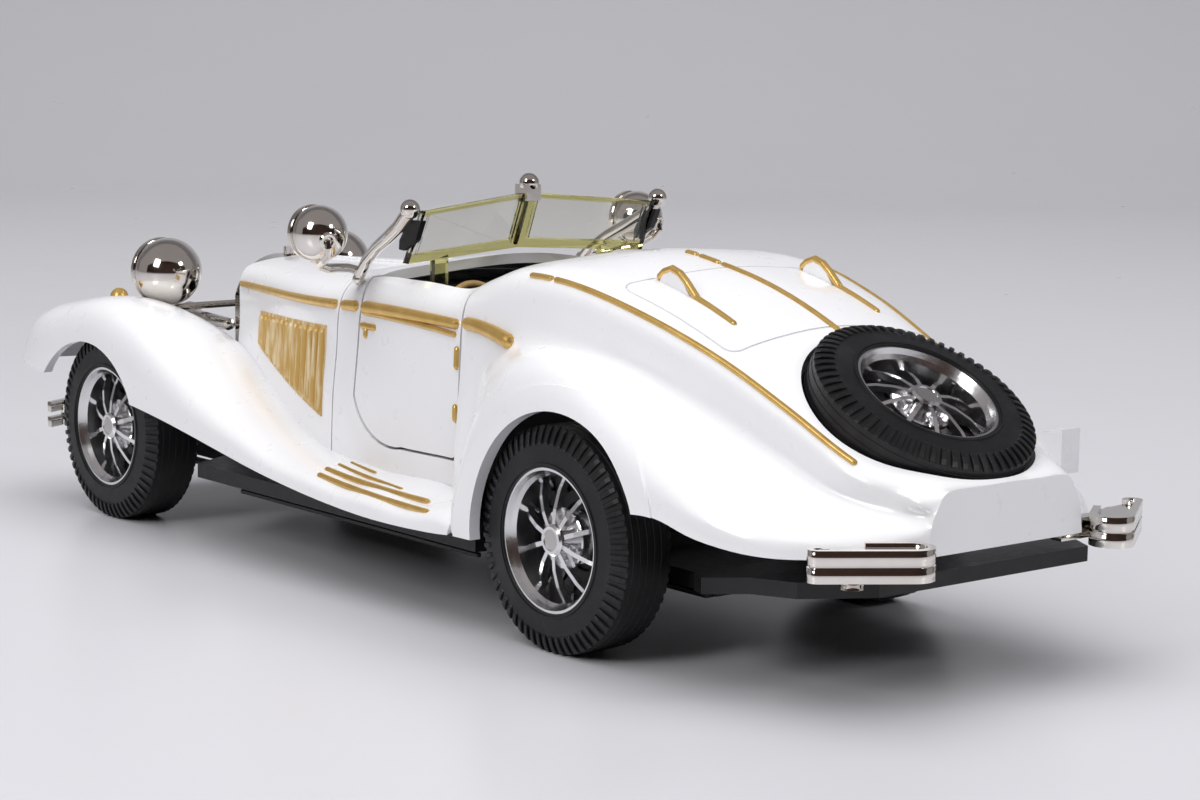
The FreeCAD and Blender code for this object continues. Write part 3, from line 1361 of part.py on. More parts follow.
def build_steering():
    """Steering wheel with three spokes, and its column into the dashboard."""
    radius = float(size("steering_wheel_radius"))
    rim = float(size("steering_wheel_rim"))
    rake = math.radians(22)
    axis = Vector(0, math.cos(rake), math.sin(rake))
    up = Vector(0, -math.sin(rake), math.cos(rake))
    centre = spot(10.0, door_front + 12.8, 39.0)
    wheel = Part.makeTorus(radius, rim, centre, axis).fuse(rod(centre - axis * 0.6, centre + axis * 0.5, 1.2))
    for angle in (90, 210, 330):
        way = Vector(1, 0, 0) * math.cos(math.radians(angle)) - up * math.sin(math.radians(angle))
        wheel = wheel.fuse(rod(centre, centre + way * (radius - rim / 2), 0.35))
    column = rod(centre - axis * 0.6, centre - axis * 14, 0.8).cut(dash_shape)
    return wheel, max(column.Solids, key=lambda solid: solid.BoundBox.YMax)


steering_wheel, column = build_steering()
shape_part("steering_wheel", steering_wheel)
shape_part("steering_column", column)


def deck_bead(spots, count=6):
    """Half-round gilt bead along the deck through (distance from the middle, station) pairs."""
    route = [deck_spot(across, y) for across, y in spots]
    return round_bar(route, float(size("bead_radius")), None, count).cut(tail_outer)


def edge_bead(start, end, count):
    """Gilt bead that follows the deck's edge between two stations."""
    spots = [(line_at(DECK_EDGE, y)[0] / float(breadth), y) for y in stations_between(start, end, count)]
    return deck_bead(spots, 2 * count)


def build_deck_lines():
    """Gilt lines of the deck: one down its middle and one along each edge, each in lengths."""
    well_edge = float(spare_centre.y) - (float(size("tyre_radius")) + 1.5) * math.cos(math.radians(30.5)) - 0.5
    middle = [deck_bead([(0, quarter_part(0.682)), (0, quarter_part(0.724)), (0, quarter_part(0.767))], 4),
              deck_bead([(0, quarter_part(0.777)), (0, quarter_part(0.84)), (0, quarter_part(0.918))], 4),
              deck_bead([(0, y) for y in stations_between(quarter_part(0.928), well_edge, 7)], 12)]
    edges = [edge_bead(quarter_part(0.492), quarter_part(0.659), 4),
             edge_bead(quarter_part(0.669), tail_part(0.8), 12)]
    return Part.makeCompound(middle + edges + [mirrored(bead) for bead in edges])


shape_part("deck_lines", build_deck_lines())


def build_deck_handle():
    """Left deck handle: a white fin under a curved gilt ridge that runs on down the lid."""
    across = 13.1
    start = float(rear_axle) - 0.1
    foot = deck_spot(across, start)
    top = [spot(across, start + y, z) for y, z in ((1.2, 49.8), (2.7, 50.3), (4.6, 49.6))]
    low = deck_spot(across, start + 8.0)
    arch = round_bar([foot] + top + [low], 0.55, 0.5, 7)
    runner = round_bar([deck_spot(across, start + y) for y in (7.0, 9.5, 12.5, 15.4)], 0.5, 0.42, 7)
    ridge = arch.fuse(runner).cut(tail_outer)
    outline = [foot - Vector(0, 0, 1.5)] + top + [low - Vector(0, 0, 1.5)]
    fin = prism([point - Vector(0.4, 0, 0) for point in outline], Vector(0.8, 0, 0)).cut(tail_outer).cut(arch)
    return largest(ridge), largest(fin)


ridge, fin = build_deck_handle()
shape_part("deck_handles", both_sides(ridge))
shape_part("deck_fins", both_sides(fin))


def build_tail_lamp():
    """Lamp block on the right rear wing."""
    outline = [(-6.0, 24.0), (-6.0, 26.6), (-3.2, 29.4), (0.0, 30.0), (0.0, 24.0)]
    points = [spot(-28.0, tail_end - 12.9 + y, z) for y, z in outline]
    return largest(prism(points, Vector(float(wide(3.6)), 0, 0)).cut(tail_outer))


shape_part("tail_lamp", build_tail_lamp())

os.makedirs("parts", exist_ok=True)
doc.recompute()
failed = [obj.Label for obj in doc.Objects if {"Invalid", "Error"} & set(obj.State)]
if failed:
    raise RuntimeError("failed: " + ", ".join(failed))
for part in parts:
    shape = part.Shape
    if shape.isNull() or not shape.isValid():
        raise RuntimeError(part.Label + " is not sound")
    print(part.Label, "volume %.1f" % shape.Volume, len(shape.Solids), "solids", len(shape.Faces), "faces")
    shape.exportStep("parts/" + part.Label + ".step")
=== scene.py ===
"""Finishes, fine pieces, studio and camera for the toy roadster.

Everything is in metres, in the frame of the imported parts: the nose points to -Y, the left side is +X.
"""

import json
import math

import bmesh
import bpy
from mathutils import Matrix, Vector


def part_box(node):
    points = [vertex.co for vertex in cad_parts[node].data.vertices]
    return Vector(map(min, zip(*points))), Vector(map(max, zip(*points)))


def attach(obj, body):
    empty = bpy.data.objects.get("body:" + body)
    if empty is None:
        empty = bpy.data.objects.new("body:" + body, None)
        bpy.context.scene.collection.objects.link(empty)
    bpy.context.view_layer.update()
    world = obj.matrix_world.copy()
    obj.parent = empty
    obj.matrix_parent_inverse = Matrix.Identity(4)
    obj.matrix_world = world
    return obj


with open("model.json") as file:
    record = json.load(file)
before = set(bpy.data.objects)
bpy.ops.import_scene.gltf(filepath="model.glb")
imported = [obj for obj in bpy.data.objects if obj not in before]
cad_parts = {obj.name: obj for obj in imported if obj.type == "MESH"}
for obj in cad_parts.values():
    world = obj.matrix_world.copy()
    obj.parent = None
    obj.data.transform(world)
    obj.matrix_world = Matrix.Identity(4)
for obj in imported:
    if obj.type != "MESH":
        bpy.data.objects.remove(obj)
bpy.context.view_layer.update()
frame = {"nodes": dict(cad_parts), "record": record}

MM = 0.001
SIDES = {"left": 1, "right": -1}
WHEEL_BODIES = {
    "front_left": "front_axle_set", "front_right": "front_axle_set",
    "rear_left": "rear_axle_set", "rear_right": "rear_axle_set", "spare": "root",
}
SPARE_TILT = math.radians(30.5)
LEVEL = Matrix.Identity(4)

# Radius in mm of an outline's end that closes on its axis.
ON_AXIS = 0.0001

# Places of the two colours and of their blend among a mix node's sockets.
MIX_COLOUR_A = 6
MIX_COLOUR_B = 7
MIX_COLOUR_OUT = 2


class Value:
    """A number that changes over a surface. Arithmetic on it adds Math nodes."""

    def __init__(self, finish, socket):
        self.finish = finish
        self.socket = socket

    def math(self, operation, first, second=None):
        """Outcome of one operation on one or two values."""
        values = {0: first}
        if second is not None:
            values[1] = second
        node = self.finish.add("ShaderNodeMath", {"operation": operation}, values)
        return Value(self.finish, node.outputs[0])

    def __add__(self, other):
        return self.math("ADD", self, other)

    def __radd__(self, other):
        return self.math("ADD", other, self)

    def __sub__(self, other):
        return self.math("SUBTRACT", self, other)

    def __rsub__(self, other):
        return self.math("SUBTRACT", other, self)

    def __mul__(self, other):
        return self.math("MULTIPLY", self, other)

    def __rmul__(self, other):
        return self.math("MULTIPLY", other, self)

    def __abs__(self):
        return self.math("ABSOLUTE", self)

    def wave(self):
        """Sine of the value."""
        return self.math("SINE", self)

    def between(self, low, high):
        """Ease from 0 at the low value to 1 at the high value."""
        node = self.finish.add("ShaderNodeMapRange", {"interpolation_type": "SMOOTHSTEP", "clamp": True},
                               {"Value": self, "From Min": low, "From Max": high})
        return Value(self.finish, node.outputs["Result"])


class Finish:
    """One material: its shader's constant sockets, and one method for any other node."""

    def __init__(self, name, **constants):
        self.material = bpy.data.materials.new(name)
        self.material.use_nodes = True
        self.tree = self.material.node_tree
        self.shader = self.tree.nodes["Principled BSDF"]
        for socket, value in constants.items():
            self.shader.inputs[socket.replace("_", " ")].default_value = value

    def add(self, kind, settings=None, inputs=None):
        """Add a node, with its settings first and then its sockets' values or links."""
        node = self.tree.nodes.new(kind)
        for name, value in (settings or {}).items():
            setattr(node, name, value)
        for name, value in (inputs or {}).items():
            self.feed(node.inputs[name], value)
        return node

    def feed(self, socket, value):
        """Give a socket a plain value or a link."""
        if isinstance(value, Value):
            self.tree.links.new(value.socket, socket)
        elif isinstance(value, bpy.types.NodeSocket):
            self.tree.links.new(value, socket)
        else:
            socket.default_value = value

    def place(self):
        """Position on the object, in metres."""
        return self.add("ShaderNodeTexCoord").outputs["Object"]

    def along(self, axis):
        """One coordinate on the object, in millimetres."""
        parts = self.add("ShaderNodeSeparateXYZ", {}, {"Vector": self.place()})
        return Value(self, parts.outputs[axis]) * 1000.0

    def noise(self, size_mm, detail=2.0, stretch=(1.0, 1.0, 1.0)):
        """Cloudy variation with features of about one size."""
        mapped = self.add("ShaderNodeMapping", {}, {"Vector": self.place(), "Scale": stretch})
        node = self.add("ShaderNodeTexNoise", {}, {
            "Vector": mapped.outputs["Vector"], "Scale": 1.0 / (size_mm * MM), "Detail": detail})
        return Value(self, node.outputs["Fac"])

    def blend(self, factor, first, second):
        """Colour between two others."""
        node = self.add("ShaderNodeMix", {"data_type": "RGBA"}, {"Factor": factor})
        self.feed(node.inputs[MIX_COLOUR_A], (*first, 1.0))
        self.feed(node.inputs[MIX_COLOUR_B], (*second, 1.0))
        return node.outputs[MIX_COLOUR_OUT]

    def relief(self, height, depth_mm):
        """Raise and sink the surface by a varying height."""
        bump = self.add("ShaderNodeBump", {}, {
            "Height": height, "Distance": depth_mm * MM, "Strength": 1.0})
        self.feed(self.shader.inputs["Normal"], bump.outputs["Normal"])

    def vary(self, **sockets):
        """Feed what changes over the surface."""
        for name, value in sockets.items():
            self.feed(self.shader.inputs[name.replace("_", " ")], value)


def white_paint():
    """Thick gloss enamel over a casting, with the faint ripple of sprayed paint."""
    finish = Finish("white_paint", Coat_Weight=0.7, Coat_Roughness=0.08, IOR=1.5)
    cloud = finish.noise(22.0, 3.0)
    finish.vary(Base_Color=finish.blend(cloud, (0.84, 0.845, 0.875), (0.88, 0.885, 0.905)))
    finish.vary(Roughness=0.24 + 0.1 * finish.noise(3.0))
    finish.relief(finish.noise(3.0, 1.0), 0.006)
    return finish.material


def gilt_paint():
    """Brushed-on gold paint, uneven in tone and slightly grainy."""
    finish = Finish("gilt_paint", Metallic=0.7, IOR=1.5)
    tone = finish.noise(2.2, 3.0)
    finish.vary(Base_Color=finish.blend(tone, (0.56, 0.33, 0.07), (0.86, 0.60, 0.22)))
    finish.vary(Roughness=0.24 + 0.2 * finish.noise(0.8))
    finish.relief(finish.noise(0.35, 2.0), 0.03)
    return finish.material


def louvre_gilt():
    """Gold wiped over the ribs of the bonnet panels, worn through to the white in streaks."""
    finish = Finish("louvre_gilt", Metallic=0.35, IOR=1.5)
    streak = finish.noise(1.0, 3.0, (1.0, 1.0, 0.12))
    worn = streak.between(0.42, 0.72)
    finish.vary(Base_Color=finish.blend(worn, (0.60, 0.38, 0.11), (0.86, 0.74, 0.50)))
    finish.vary(Roughness=0.38 + 0.2 * streak)
    finish.relief(finish.noise(0.4, 2.0), 0.03)
    return finish.material


def warm_plating(name, smoothest):
    """Vacuum plating, warm in tone, hazy in patches."""
    finish = Finish(name, Metallic=1.0)
    haze = finish.noise(4.0, 3.0)
    finish.vary(Base_Color=finish.blend(haze, (0.66, 0.62, 0.57), (0.84, 0.81, 0.77)))
    finish.vary(Roughness=smoothest + 0.08 * haze)
    return finish


def chrome_plate():
    """Plated plastic, faintly wavy."""
    finish = warm_plating("chrome_plate", 0.05)
    finish.relief(finish.noise(2.2, 1.0), 0.012)
    return finish.material


def bumper_plate(name, bar_middle, bar_pitch):
    """Plated bars, crowned so that each mirrors the floor low down and the dark room higher up."""
    finish = warm_plating(name, 0.06)
    crown = ((finish.along("Z") - bar_middle) * (2 * math.pi / bar_pitch) + math.pi / 2).wave()
    finish.relief(crown + 0.06 * finish.noise(2.2, 1.0), 0.12)
    return finish.material


def wheel_plate():
    """Bright silver plating of the wheel rims and spokes."""
    finish = Finish("wheel_plate", Metallic=1.0)
    haze = finish.noise(1.5, 3.0)
    finish.vary(Base_Color=finish.blend(haze, (0.74, 0.74, 0.75), (0.90, 0.90, 0.91)))
    finish.vary(Roughness=0.14 + 0.14 * haze)
    finish.relief(finish.noise(0.6, 1.0), 0.01)
    return finish.material


def brushed_cap():
    """Satin disc in the middle of each hub cap."""
    finish = Finish("brushed_cap", Metallic=1.0)
    grain = finish.noise(0.25, 2.0, (1.0, 1.0, 0.2))
    finish.vary(Base_Color=finish.blend(grain, (0.56, 0.55, 0.54), (0.70, 0.69, 0.68)))
    finish.vary(Roughness=0.36 + 0.16 * grain)
    return finish.material


def clear_plastic():
    """Clear moulded sheet whose thick edges look olive."""
    finish = Finish("clear_plastic", Transmission_Weight=1.0, IOR=1.49)
    height = finish.along("Z")
    across = abs(finish.along("X"))
    # Foot and top fall a little towards the sides, and a strip runs up the middle.
    foot = 1.0 - (height + 0.055 * across).between(49.9, 50.4)
    top = (height + 0.082 * across).between(56.1, 56.5)
    middle = 1.0 - across.between(1.4, 1.9)
    edge = (foot + top + middle).between(0.0, 1.0)
    finish.vary(Base_Color=finish.blend(edge, (0.95, 0.945, 0.87), (0.70, 0.66, 0.28)))
    finish.vary(Roughness=0.02 + 0.05 * finish.noise(5.0, 2.0))
    finish.relief(finish.noise(2.5, 1.0), 0.01)
    return finish.material


def reflector():
    """Bright satin metal behind the lamp glasses."""
    finish = Finish("reflector", Metallic=1.0)
    haze = finish.noise(2.0, 2.0)
    finish.vary(Base_Color=finish.blend(haze, (0.84, 0.84, 0.83), (0.93, 0.93, 0.92)))
    finish.vary(Roughness=0.42 + 0.12 * haze)
    return finish.material


def lamp_lens():
    """Clear lamp glass with upright flutes."""
    finish = Finish("lamp_lens", Base_Color=(0.96, 0.96, 0.94, 1.0), Transmission_Weight=1.0, IOR=1.49)
    flutes = (finish.along("X") * 6.0).wave()
    finish.relief(flutes + 0.2 * finish.noise(1.0, 1.0), 0.05)
    finish.vary(Roughness=0.03 + 0.04 * finish.noise(2.0, 2.0))
    return finish.material


def black_plastic():
    """Moulded black plastic with a fine grain."""
    finish = Finish("black_plastic", IOR=1.46)
    cloud = finish.noise(6.0, 3.0)
    finish.vary(Base_Color=finish.blend(cloud, (0.004, 0.004, 0.005), (0.009, 0.009, 0.010)))
    finish.vary(Roughness=0.34 + 0.2 * finish.noise(1.2))
    finish.relief(finish.noise(0.25, 2.0), 0.02)
    return finish.material


def tan_plastic():
    """Tan moulded plastic of the steering wheel."""
    finish = Finish("tan_plastic", IOR=1.46)
    tone = finish.noise(1.6, 3.0)
    finish.vary(Base_Color=finish.blend(tone, (0.42, 0.26, 0.10), (0.60, 0.41, 0.18)))
    finish.vary(Roughness=0.3 + 0.2 * finish.noise(0.8))
    finish.relief(finish.noise(0.4, 2.0), 0.02)
    return finish.material


def tyre_rubber():
    """Soft black rubber, dusted dull where it was handled."""
    finish = Finish("tyre_rubber", IOR=1.45)
    dust = finish.noise(5.0, 4.0).between(0.45, 0.75)
    finish.vary(Base_Color=finish.blend(dust, (0.006, 0.006, 0.007), (0.013, 0.013, 0.014)))
    finish.vary(Roughness=0.34 + 0.22 * finish.noise(1.5))
    finish.relief(finish.noise(0.3, 3.0), 0.03)
    return finish.material


def bare_steel():
    """Drawn steel rod with lengthwise scratches."""
    finish = Finish("bare_steel", Metallic=1.0)
    scratch = finish.noise(0.5, 3.0, (0.05, 1.0, 1.0))
    finish.vary(Base_Color=finish.blend(scratch, (0.42, 0.42, 0.43), (0.60, 0.60, 0.61)))
    finish.vary(Roughness=0.22 + 0.2 * scratch)
    finish.relief(scratch, 0.01)
    return finish.material


SLOT_MATERIALS = {
    "white_paint": white_paint(), "gilt_paint": gilt_paint(), "chrome_plate": chrome_plate(),
    "clear_plastic": clear_plastic(), "black_plastic": black_plastic(), "tan_plastic": tan_plastic(),
    "tyre_rubber": tyre_rubber(), "steel": bare_steel(),
}
WHEEL_PLATE = wheel_plate()
# Each with the middle height of its bars and their pitch, in mm.
BUMPER_PLATES = {
    "front_bumper": bumper_plate("front_bumper_plate", 12.45, 2.6),
    "rear_bumpers": bumper_plate("rear_bumper_plate", 18.5, 2.2),
}
BRUSHED_CAP = brushed_cap()
LAMP_LENS = lamp_lens()
REFLECTOR = reflector()
LOUVRE_GILT = louvre_gilt()


def node_material(name, slot):
    """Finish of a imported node: its slot's, or a variant of it."""
    if "_rim" in name:
        return WHEEL_PLATE
    if name in ("headlamp_glasses", "spotlight_glasses"):
        return LAMP_LENS
    if name == "bonnet_louvres":
        return LOUVRE_GILT
    if name in BUMPER_PLATES:
        return BUMPER_PLATES[name]
    return SLOT_MATERIALS[slot]


def finish_nodes():
    """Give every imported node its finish."""
    slots = {part["node"]: part["material_slot"] for part in frame["record"]["subparts"]}
    for name, obj in frame["nodes"].items():
        material = node_material(name, slots[name])
        for holder in obj.material_slots:
            holder.material = material


def add_object(name, mesh, material):
    """Put a mesh in the scene with its finish."""
    data = bpy.data.meshes.new(name)
    mesh.to_mesh(data)
    mesh.free()
    data.materials.append(material)
    added = bpy.data.objects.new(name, data)
    bpy.context.scene.collection.objects.link(added)
    return added


def mesh_piece(name, mesh, body, slot, material=None, soften_mm=0.0):
    """Add a mesh to the scene as a piece that rides on a body."""
    bmesh.ops.recalc_face_normals(mesh, faces=mesh.faces)
    piece = add_object(name, mesh, material or SLOT_MATERIALS[slot])
    if soften_mm:
        bevel = piece.modifiers.new("softened", "BEVEL")
        bevel.width = soften_mm * MM
        bevel.segments = 1
        bevel.limit_method = "ANGLE"
    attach(piece, body)


def mm(x, y, z):
    """Point in metres from millimetres."""
    return Vector((x, y, z)) * MM


def spun(along, radius, angle):
    """Point at a place along X and a radius about it, both in mm, turned by an angle."""
    return mm(along, radius * math.cos(angle), radius * math.sin(angle))


def ring_faces(mesh, rings):
    """Join rings of points with faces, each to the next."""
    for before, after in zip(rings, rings[1:]):
        for corner in range(len(before)):
            following = (corner + 1) % len(before)
            mesh.faces.new((before[corner], before[following], after[following], after[corner]))


def closed_rings(mesh, rings):
    """Join rings of points with faces and close both ends."""
    ring_faces(mesh, rings)
    mesh.faces.new(rings[0][::-1])
    mesh.faces.new(rings[-1])


def lathe(mesh, matrix, outline, segments=72):
    """Closed ring turned about +X from an outline of (place along X, radius) pairs in mm."""
    rings = []
    for index in range(segments):
        angle = 2 * math.pi * index / segments
        rings.append([mesh.verts.new(matrix @ spun(*pair, angle)) for pair in outline])
    ring_faces(mesh, rings + rings[:1])


def block(mesh, matrix, low, high):
    """Box between two corners in mm."""
    rings = []
    for x in (low[0], high[0]):
        corners = ((low[1], low[2]), (high[1], low[2]), (high[1], high[2]), (low[1], high[2]))
        rings.append([mesh.verts.new(matrix @ mm(x, y, z)) for y, z in corners])
    closed_rings(mesh, rings)


def tube(mesh, route, radius, sides=10):
    """Round cord along points in metres, closed at both ends."""
    rings = []
    reference = Vector((0, 0, 1))
    for index, spot in enumerate(route):
        before = route[max(index - 1, 0)]
        after = route[min(index + 1, len(route) - 1)]
        way = (after - before).normalized()
        if abs(way.dot(reference)) > 0.9:
            reference = Vector((1, 0, 0))
        first = way.cross(reference).normalized()
        second = way.cross(first)
        ring = []
        for side in range(sides):
            angle = 2 * math.pi * side / sides
            outward = first * math.cos(angle) + second * math.sin(angle)
            ring.append(mesh.verts.new(spot + outward * radius * MM))
        rings.append(ring)
    closed_rings(mesh, rings)


def ball(mesh, centre, radius):
    """Small sphere about a point in metres."""
    place = Matrix.Translation(centre)
    bmesh.ops.create_icosphere(mesh, subdivisions=3, radius=radius * MM, matrix=place)


def on_side(spot, side):
    """A point that is given for the left side, on either side."""
    return Vector((spot.x * side, spot.y, spot.z))


def surface(node, start, way):
    """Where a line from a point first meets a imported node."""
    found, spot = frame["nodes"][node].ray_cast(start, Vector(way))[:2]
    if not found:
        raise RuntimeError("no surface of " + node + " from " + str(start))
    return spot


def facing(centre, axis):
    """Matrix that turns +X to an axis and moves the origin to a point in metres."""
    axis = Vector(axis).normalized()
    return Matrix.Translation(centre) @ axis.to_track_quat("X", "Z").to_matrix().to_4x4()


def turned(matrix, angle):
    """Matrix turned about its own X axis."""
    return matrix @ Matrix.Rotation(angle, 4, "X")


def around(matrix, count, share=0.0):
    """Matrices turned in even steps about the X axis of one, the first by a share of a step."""
    return [turned(matrix, 2 * math.pi * (index + share) / count) for index in range(count)]


def wheel_frame(key):
    """Matrix from a wheel's own frame (axis along +X, outer face at +X) to the car."""
    if key == "spare":
        low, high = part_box("spare_tyre")
        return facing((low + high) / 2, (0, math.sin(SPARE_TILT), math.cos(SPARE_TILT)))
    axle, side = key.split("_")
    low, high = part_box(axle + "_tyre_" + side)
    return facing((low + high) / 2, (SIDES[side], 0, 0))


# Wheel details in mm. An outline's pairs are a place along the axle and a radius.
HALF_TYRE = 4.7
LUG_COUNT = 62
LUG_OUTLINE = [
    (3.0, 15.2), (3.7, 15.24), (4.2, 14.6), (4.55, 13.7), (4.72, 12.9), (4.45, 12.6), (3.0, 14.4),
]
TREAD_RIB_PLACES = (-2.35, -1.2, 0.0, 1.2, 2.35)
TREAD_RIB_OUTLINE = [(-0.42, 15.1), (-0.34, 15.27), (0.34, 15.27), (0.42, 15.1)]
WALL_RING_OUTLINE = [(-0.15, 9.95), (0.12, 10.03), (0.12, 10.27), (-0.15, 10.35)]
FLANGE_OUTLINE = [(-0.55, 2.1), (-0.55, 2.6), (1.5, 4.15), (1.95, 4.15), (2.1, 3.95), (2.1, 2.1)]
NUT_COUNT = 8
NUT_PLACE = mm(2.1, 3.2, 0)
NUT_OUTLINE = [(-0.2, ON_AXIS), (-0.2, 0.42), (0.1, 0.42), (0.25, 0.25), (0.25, ON_AXIS)]
SPOKE_COUNT = 10
SPOKE_STUD = [mm(0.3, 8.7, 0), mm(0.3, 8.0, 0), mm(0.3, 7.5, 0)]
VALVE_ANGLE = math.radians(18)
VALVE_STEM = [mm(1.0, 8.5, 0), mm(2.0, 8.1, 0), mm(3.2, 7.9, 0)]
DRUM_OUTLINE = [(-2.2, 4.6), (-1.5, 4.7), (-1.5, 6.3), (-1.75, 6.5), (-2.2, 6.5)]
DRUM_RIB_COUNT = 20
DRUM_RIB_CORNERS = ((-2.2, 6.6, -0.28), (-1.6, 8.3, 0.28))
CAP_DISC_OUTLINE = [(3.95, ON_AXIS), (3.95, 1.42), (4.06, 1.42), (4.1, 1.3), (4.13, ON_AXIS)]


def tread_lugs(key, body):
    """Rounded blocks round both shoulders of a tyre, those of one side halfway between the other's."""
    mesh = bmesh.new()
    matrix = wheel_frame(key)
    step = 2 * math.pi / LUG_COUNT
    half_lug = step * 0.25
    for side in (1, -1):
        shift = 0 if side > 0 else step / 2
        for index in range(LUG_COUNT):
            rings = []
            for spread in (-half_lug, half_lug):
                angle = index * step + spread + shift
                spots = [spun(side * across, radius, angle) for across, radius in LUG_OUTLINE]
                rings.append([mesh.verts.new(matrix @ spot) for spot in spots])
            closed_rings(mesh, rings)
    mesh_piece(key + "_tread_lugs", mesh, body, "tyre_rubber", soften_mm=0.1)


def tyre_rings(key, body):
    """Ribs round the middle of the tread and a fine moulded ring by the rim on both sidewalls."""
    mesh = bmesh.new()
    matrix = wheel_frame(key)
    for place in TREAD_RIB_PLACES:
        lathe(mesh, matrix, [(place + across, radius) for across, radius in TREAD_RIB_OUTLINE], 96)
    for side in (1, -1):
        outline = [(side * (HALF_TYRE + proud), radius) for proud, radius in WALL_RING_OUTLINE]
        lathe(mesh, matrix, outline, 96)
    mesh_piece(key + "_tyre_rings", mesh, body, "tyre_rubber")


def hub_flange(key, body):
    """Bright flange behind the spokes with its nuts, a stud at the rim for each spoke, and the valve."""
    mesh = bmesh.new()
    matrix = wheel_frame(key)
    lathe(mesh, matrix, FLANGE_OUTLINE)
    for place in around(matrix, NUT_COUNT, 0.5):
        lathe(mesh, place @ Matrix.Translation(NUT_PLACE), NUT_OUTLINE, 6)
    for place in around(matrix, SPOKE_COUNT, 0.5):
        tube(mesh, [place @ spot for spot in SPOKE_STUD], 0.22, 8)
    valve = turned(matrix, VALVE_ANGLE)
    tube(mesh, [valve @ spot for spot in VALVE_STEM], 0.25, 8)
    mesh_piece(key + "_hub_flange", mesh, body, "chrome_plate", WHEEL_PLATE)


def brake_drum(key, body):
    """Dark ribbed drum seen between the spokes."""
    mesh = bmesh.new()
    matrix = wheel_frame(key)
    lathe(mesh, matrix, DRUM_OUTLINE)
    for place in around(matrix, DRUM_RIB_COUNT):
        block(mesh, place, *DRUM_RIB_CORNERS)
    mesh_piece(key + "_brake_drum", mesh, body, "black_plastic", soften_mm=0.08)


def cap_disc(key, body):
    """Plain satin disc that fills the hub cap's raised rim."""
    mesh = bmesh.new()
    lathe(mesh, wheel_frame(key), CAP_DISC_OUTLINE, 48)
    mesh_piece(key + "_cap_disc", mesh, body, "chrome_plate", BRUSHED_CAP)


def dress_wheels():
    """Tread, rings, flange, drum and cap of all five wheels."""
    for key, body in WHEEL_BODIES.items():
        tread_lugs(key, body)
        tyre_rings(key, body)
        hub_flange(key, body)
        brake_drum(key, body)
        cap_disc(key, body)


HEADLAMP = mm(17.0, -74.0, 39.6)
SPOTLIGHT = mm(30.1, -9.0, 51.4)
# Middle of a left lamp, radius of its mouth, and how far its mouth is ahead, in mm.
LAMPS = ((HEADLAMP, 5.23, 2.0), (SPOTLIGHT, 3.77, 1.6))
BULB_RADIUS = 0.7


def bezel_outline(mouth):
    """Section of a lamp's bezel from the radius of the mouth, which it overlaps."""
    outside = [(0.1, mouth - 0.1), (0.1, mouth + 0.3), (0.75, mouth + 0.28)]
    inside = [(0.95, mouth), (0.75, mouth - 0.35), (0.5, mouth - 0.35)]
    return outside + inside


def reflector_outline(mouth):
    """Section of a shallow bowl inside a lamp's mouth, open in the middle for the bulb."""
    back = [(0.03, 0.3), (0.03, mouth - 0.55)]
    rim = [(0.5, mouth - 0.6), (0.42, mouth - 0.75)]
    bowl = [(0.2, mouth * 0.5), (0.08, 0.3)]
    return back + rim + bowl


def lamp_insides():
    """Satin reflector and bulb behind each lamp glass, and a beaded bezel round it."""
    bezels = bmesh.new()
    reflectors = bmesh.new()
    bulbs = bmesh.new()
    for side in SIDES.values():
        for middle, mouth, ahead in LAMPS:
            place = on_side(middle, side) - mm(0, ahead, 0)
            matrix = facing(place, (0, -1, 0))
            lathe(bezels, matrix, bezel_outline(mouth), 64)
            lathe(reflectors, matrix, reflector_outline(mouth), 64)
            ball(bulbs, place - mm(0, BULB_RADIUS / 2, 0), BULB_RADIUS)
    mesh_piece("lamp_bezels", bezels, "root", "chrome_plate")
    mesh_piece("lamp_reflectors", reflectors, "root", "chrome_plate", REFLECTOR)
    mesh_piece("lamp_bulbs", bulbs, "root", "white_paint")


# Left spotlight's mount: the way its back faces, its clamp's section, and its stem's route to the arm.
SPOTLIGHT_BACK = Vector((0.278, 0.934, -0.202))
CLAMP_OUTLINE = [(-0.3, 0.55), (-0.3, 1.3), (0.35, 1.3), (0.55, 1.1), (0.55, 0.75), (0.2, 0.55)]
CLAMP_REACH = 3.9
STEM_REACH = 4.1
STEM_DROP = mm(0.1, 0.2, -0.9)
STEM_ROUTE = [mm(30.7, -5.6, 48.6), mm(30.2, -7.6, 47.5), mm(29.4, -9.8, 46.8), mm(28.3, -11.3, 46.4)]
STEM_RADIUS = 0.55


def spotlight_mounts():
    """Round clamp on the back of each spotlight and the stem that curves down to its arm."""
    mesh = bmesh.new()
    for side in SIDES.values():
        away = on_side(SPOTLIGHT_BACK, side).normalized()
        middle = on_side(SPOTLIGHT, side)
        lathe(mesh, facing(middle + away * CLAMP_REACH * MM, away), CLAMP_OUTLINE, 32)
        back = middle + away * STEM_REACH * MM
        stem = [on_side(spot, side) for spot in STEM_ROUTE]
        tube(mesh, [back, back + on_side(STEM_DROP, side), *stem], STEM_RADIUS, 12)
    mesh_piece("spotlight_mounts", mesh, "root", "chrome_plate")


# Radiator opening in mm: straight sides up to its shoulder, and an arch above.
CORE_HALF_WIDTH = 7.7
CORE_FOOT = 18.4
CORE_SHOULDER = 35.6
CORE_BARS = 34
CORE_PITCH = 0.68


def core_reach(height):
    """Half width of the radiator's opening at a height."""
    if height < CORE_SHOULDER:
        return CORE_HALF_WIDTH
    flatness, least_square = 1.35, 0.3
    rise = (height - CORE_SHOULDER) * flatness
    return math.sqrt(max(CORE_HALF_WIDTH ** 2 - rise ** 2, least_square))


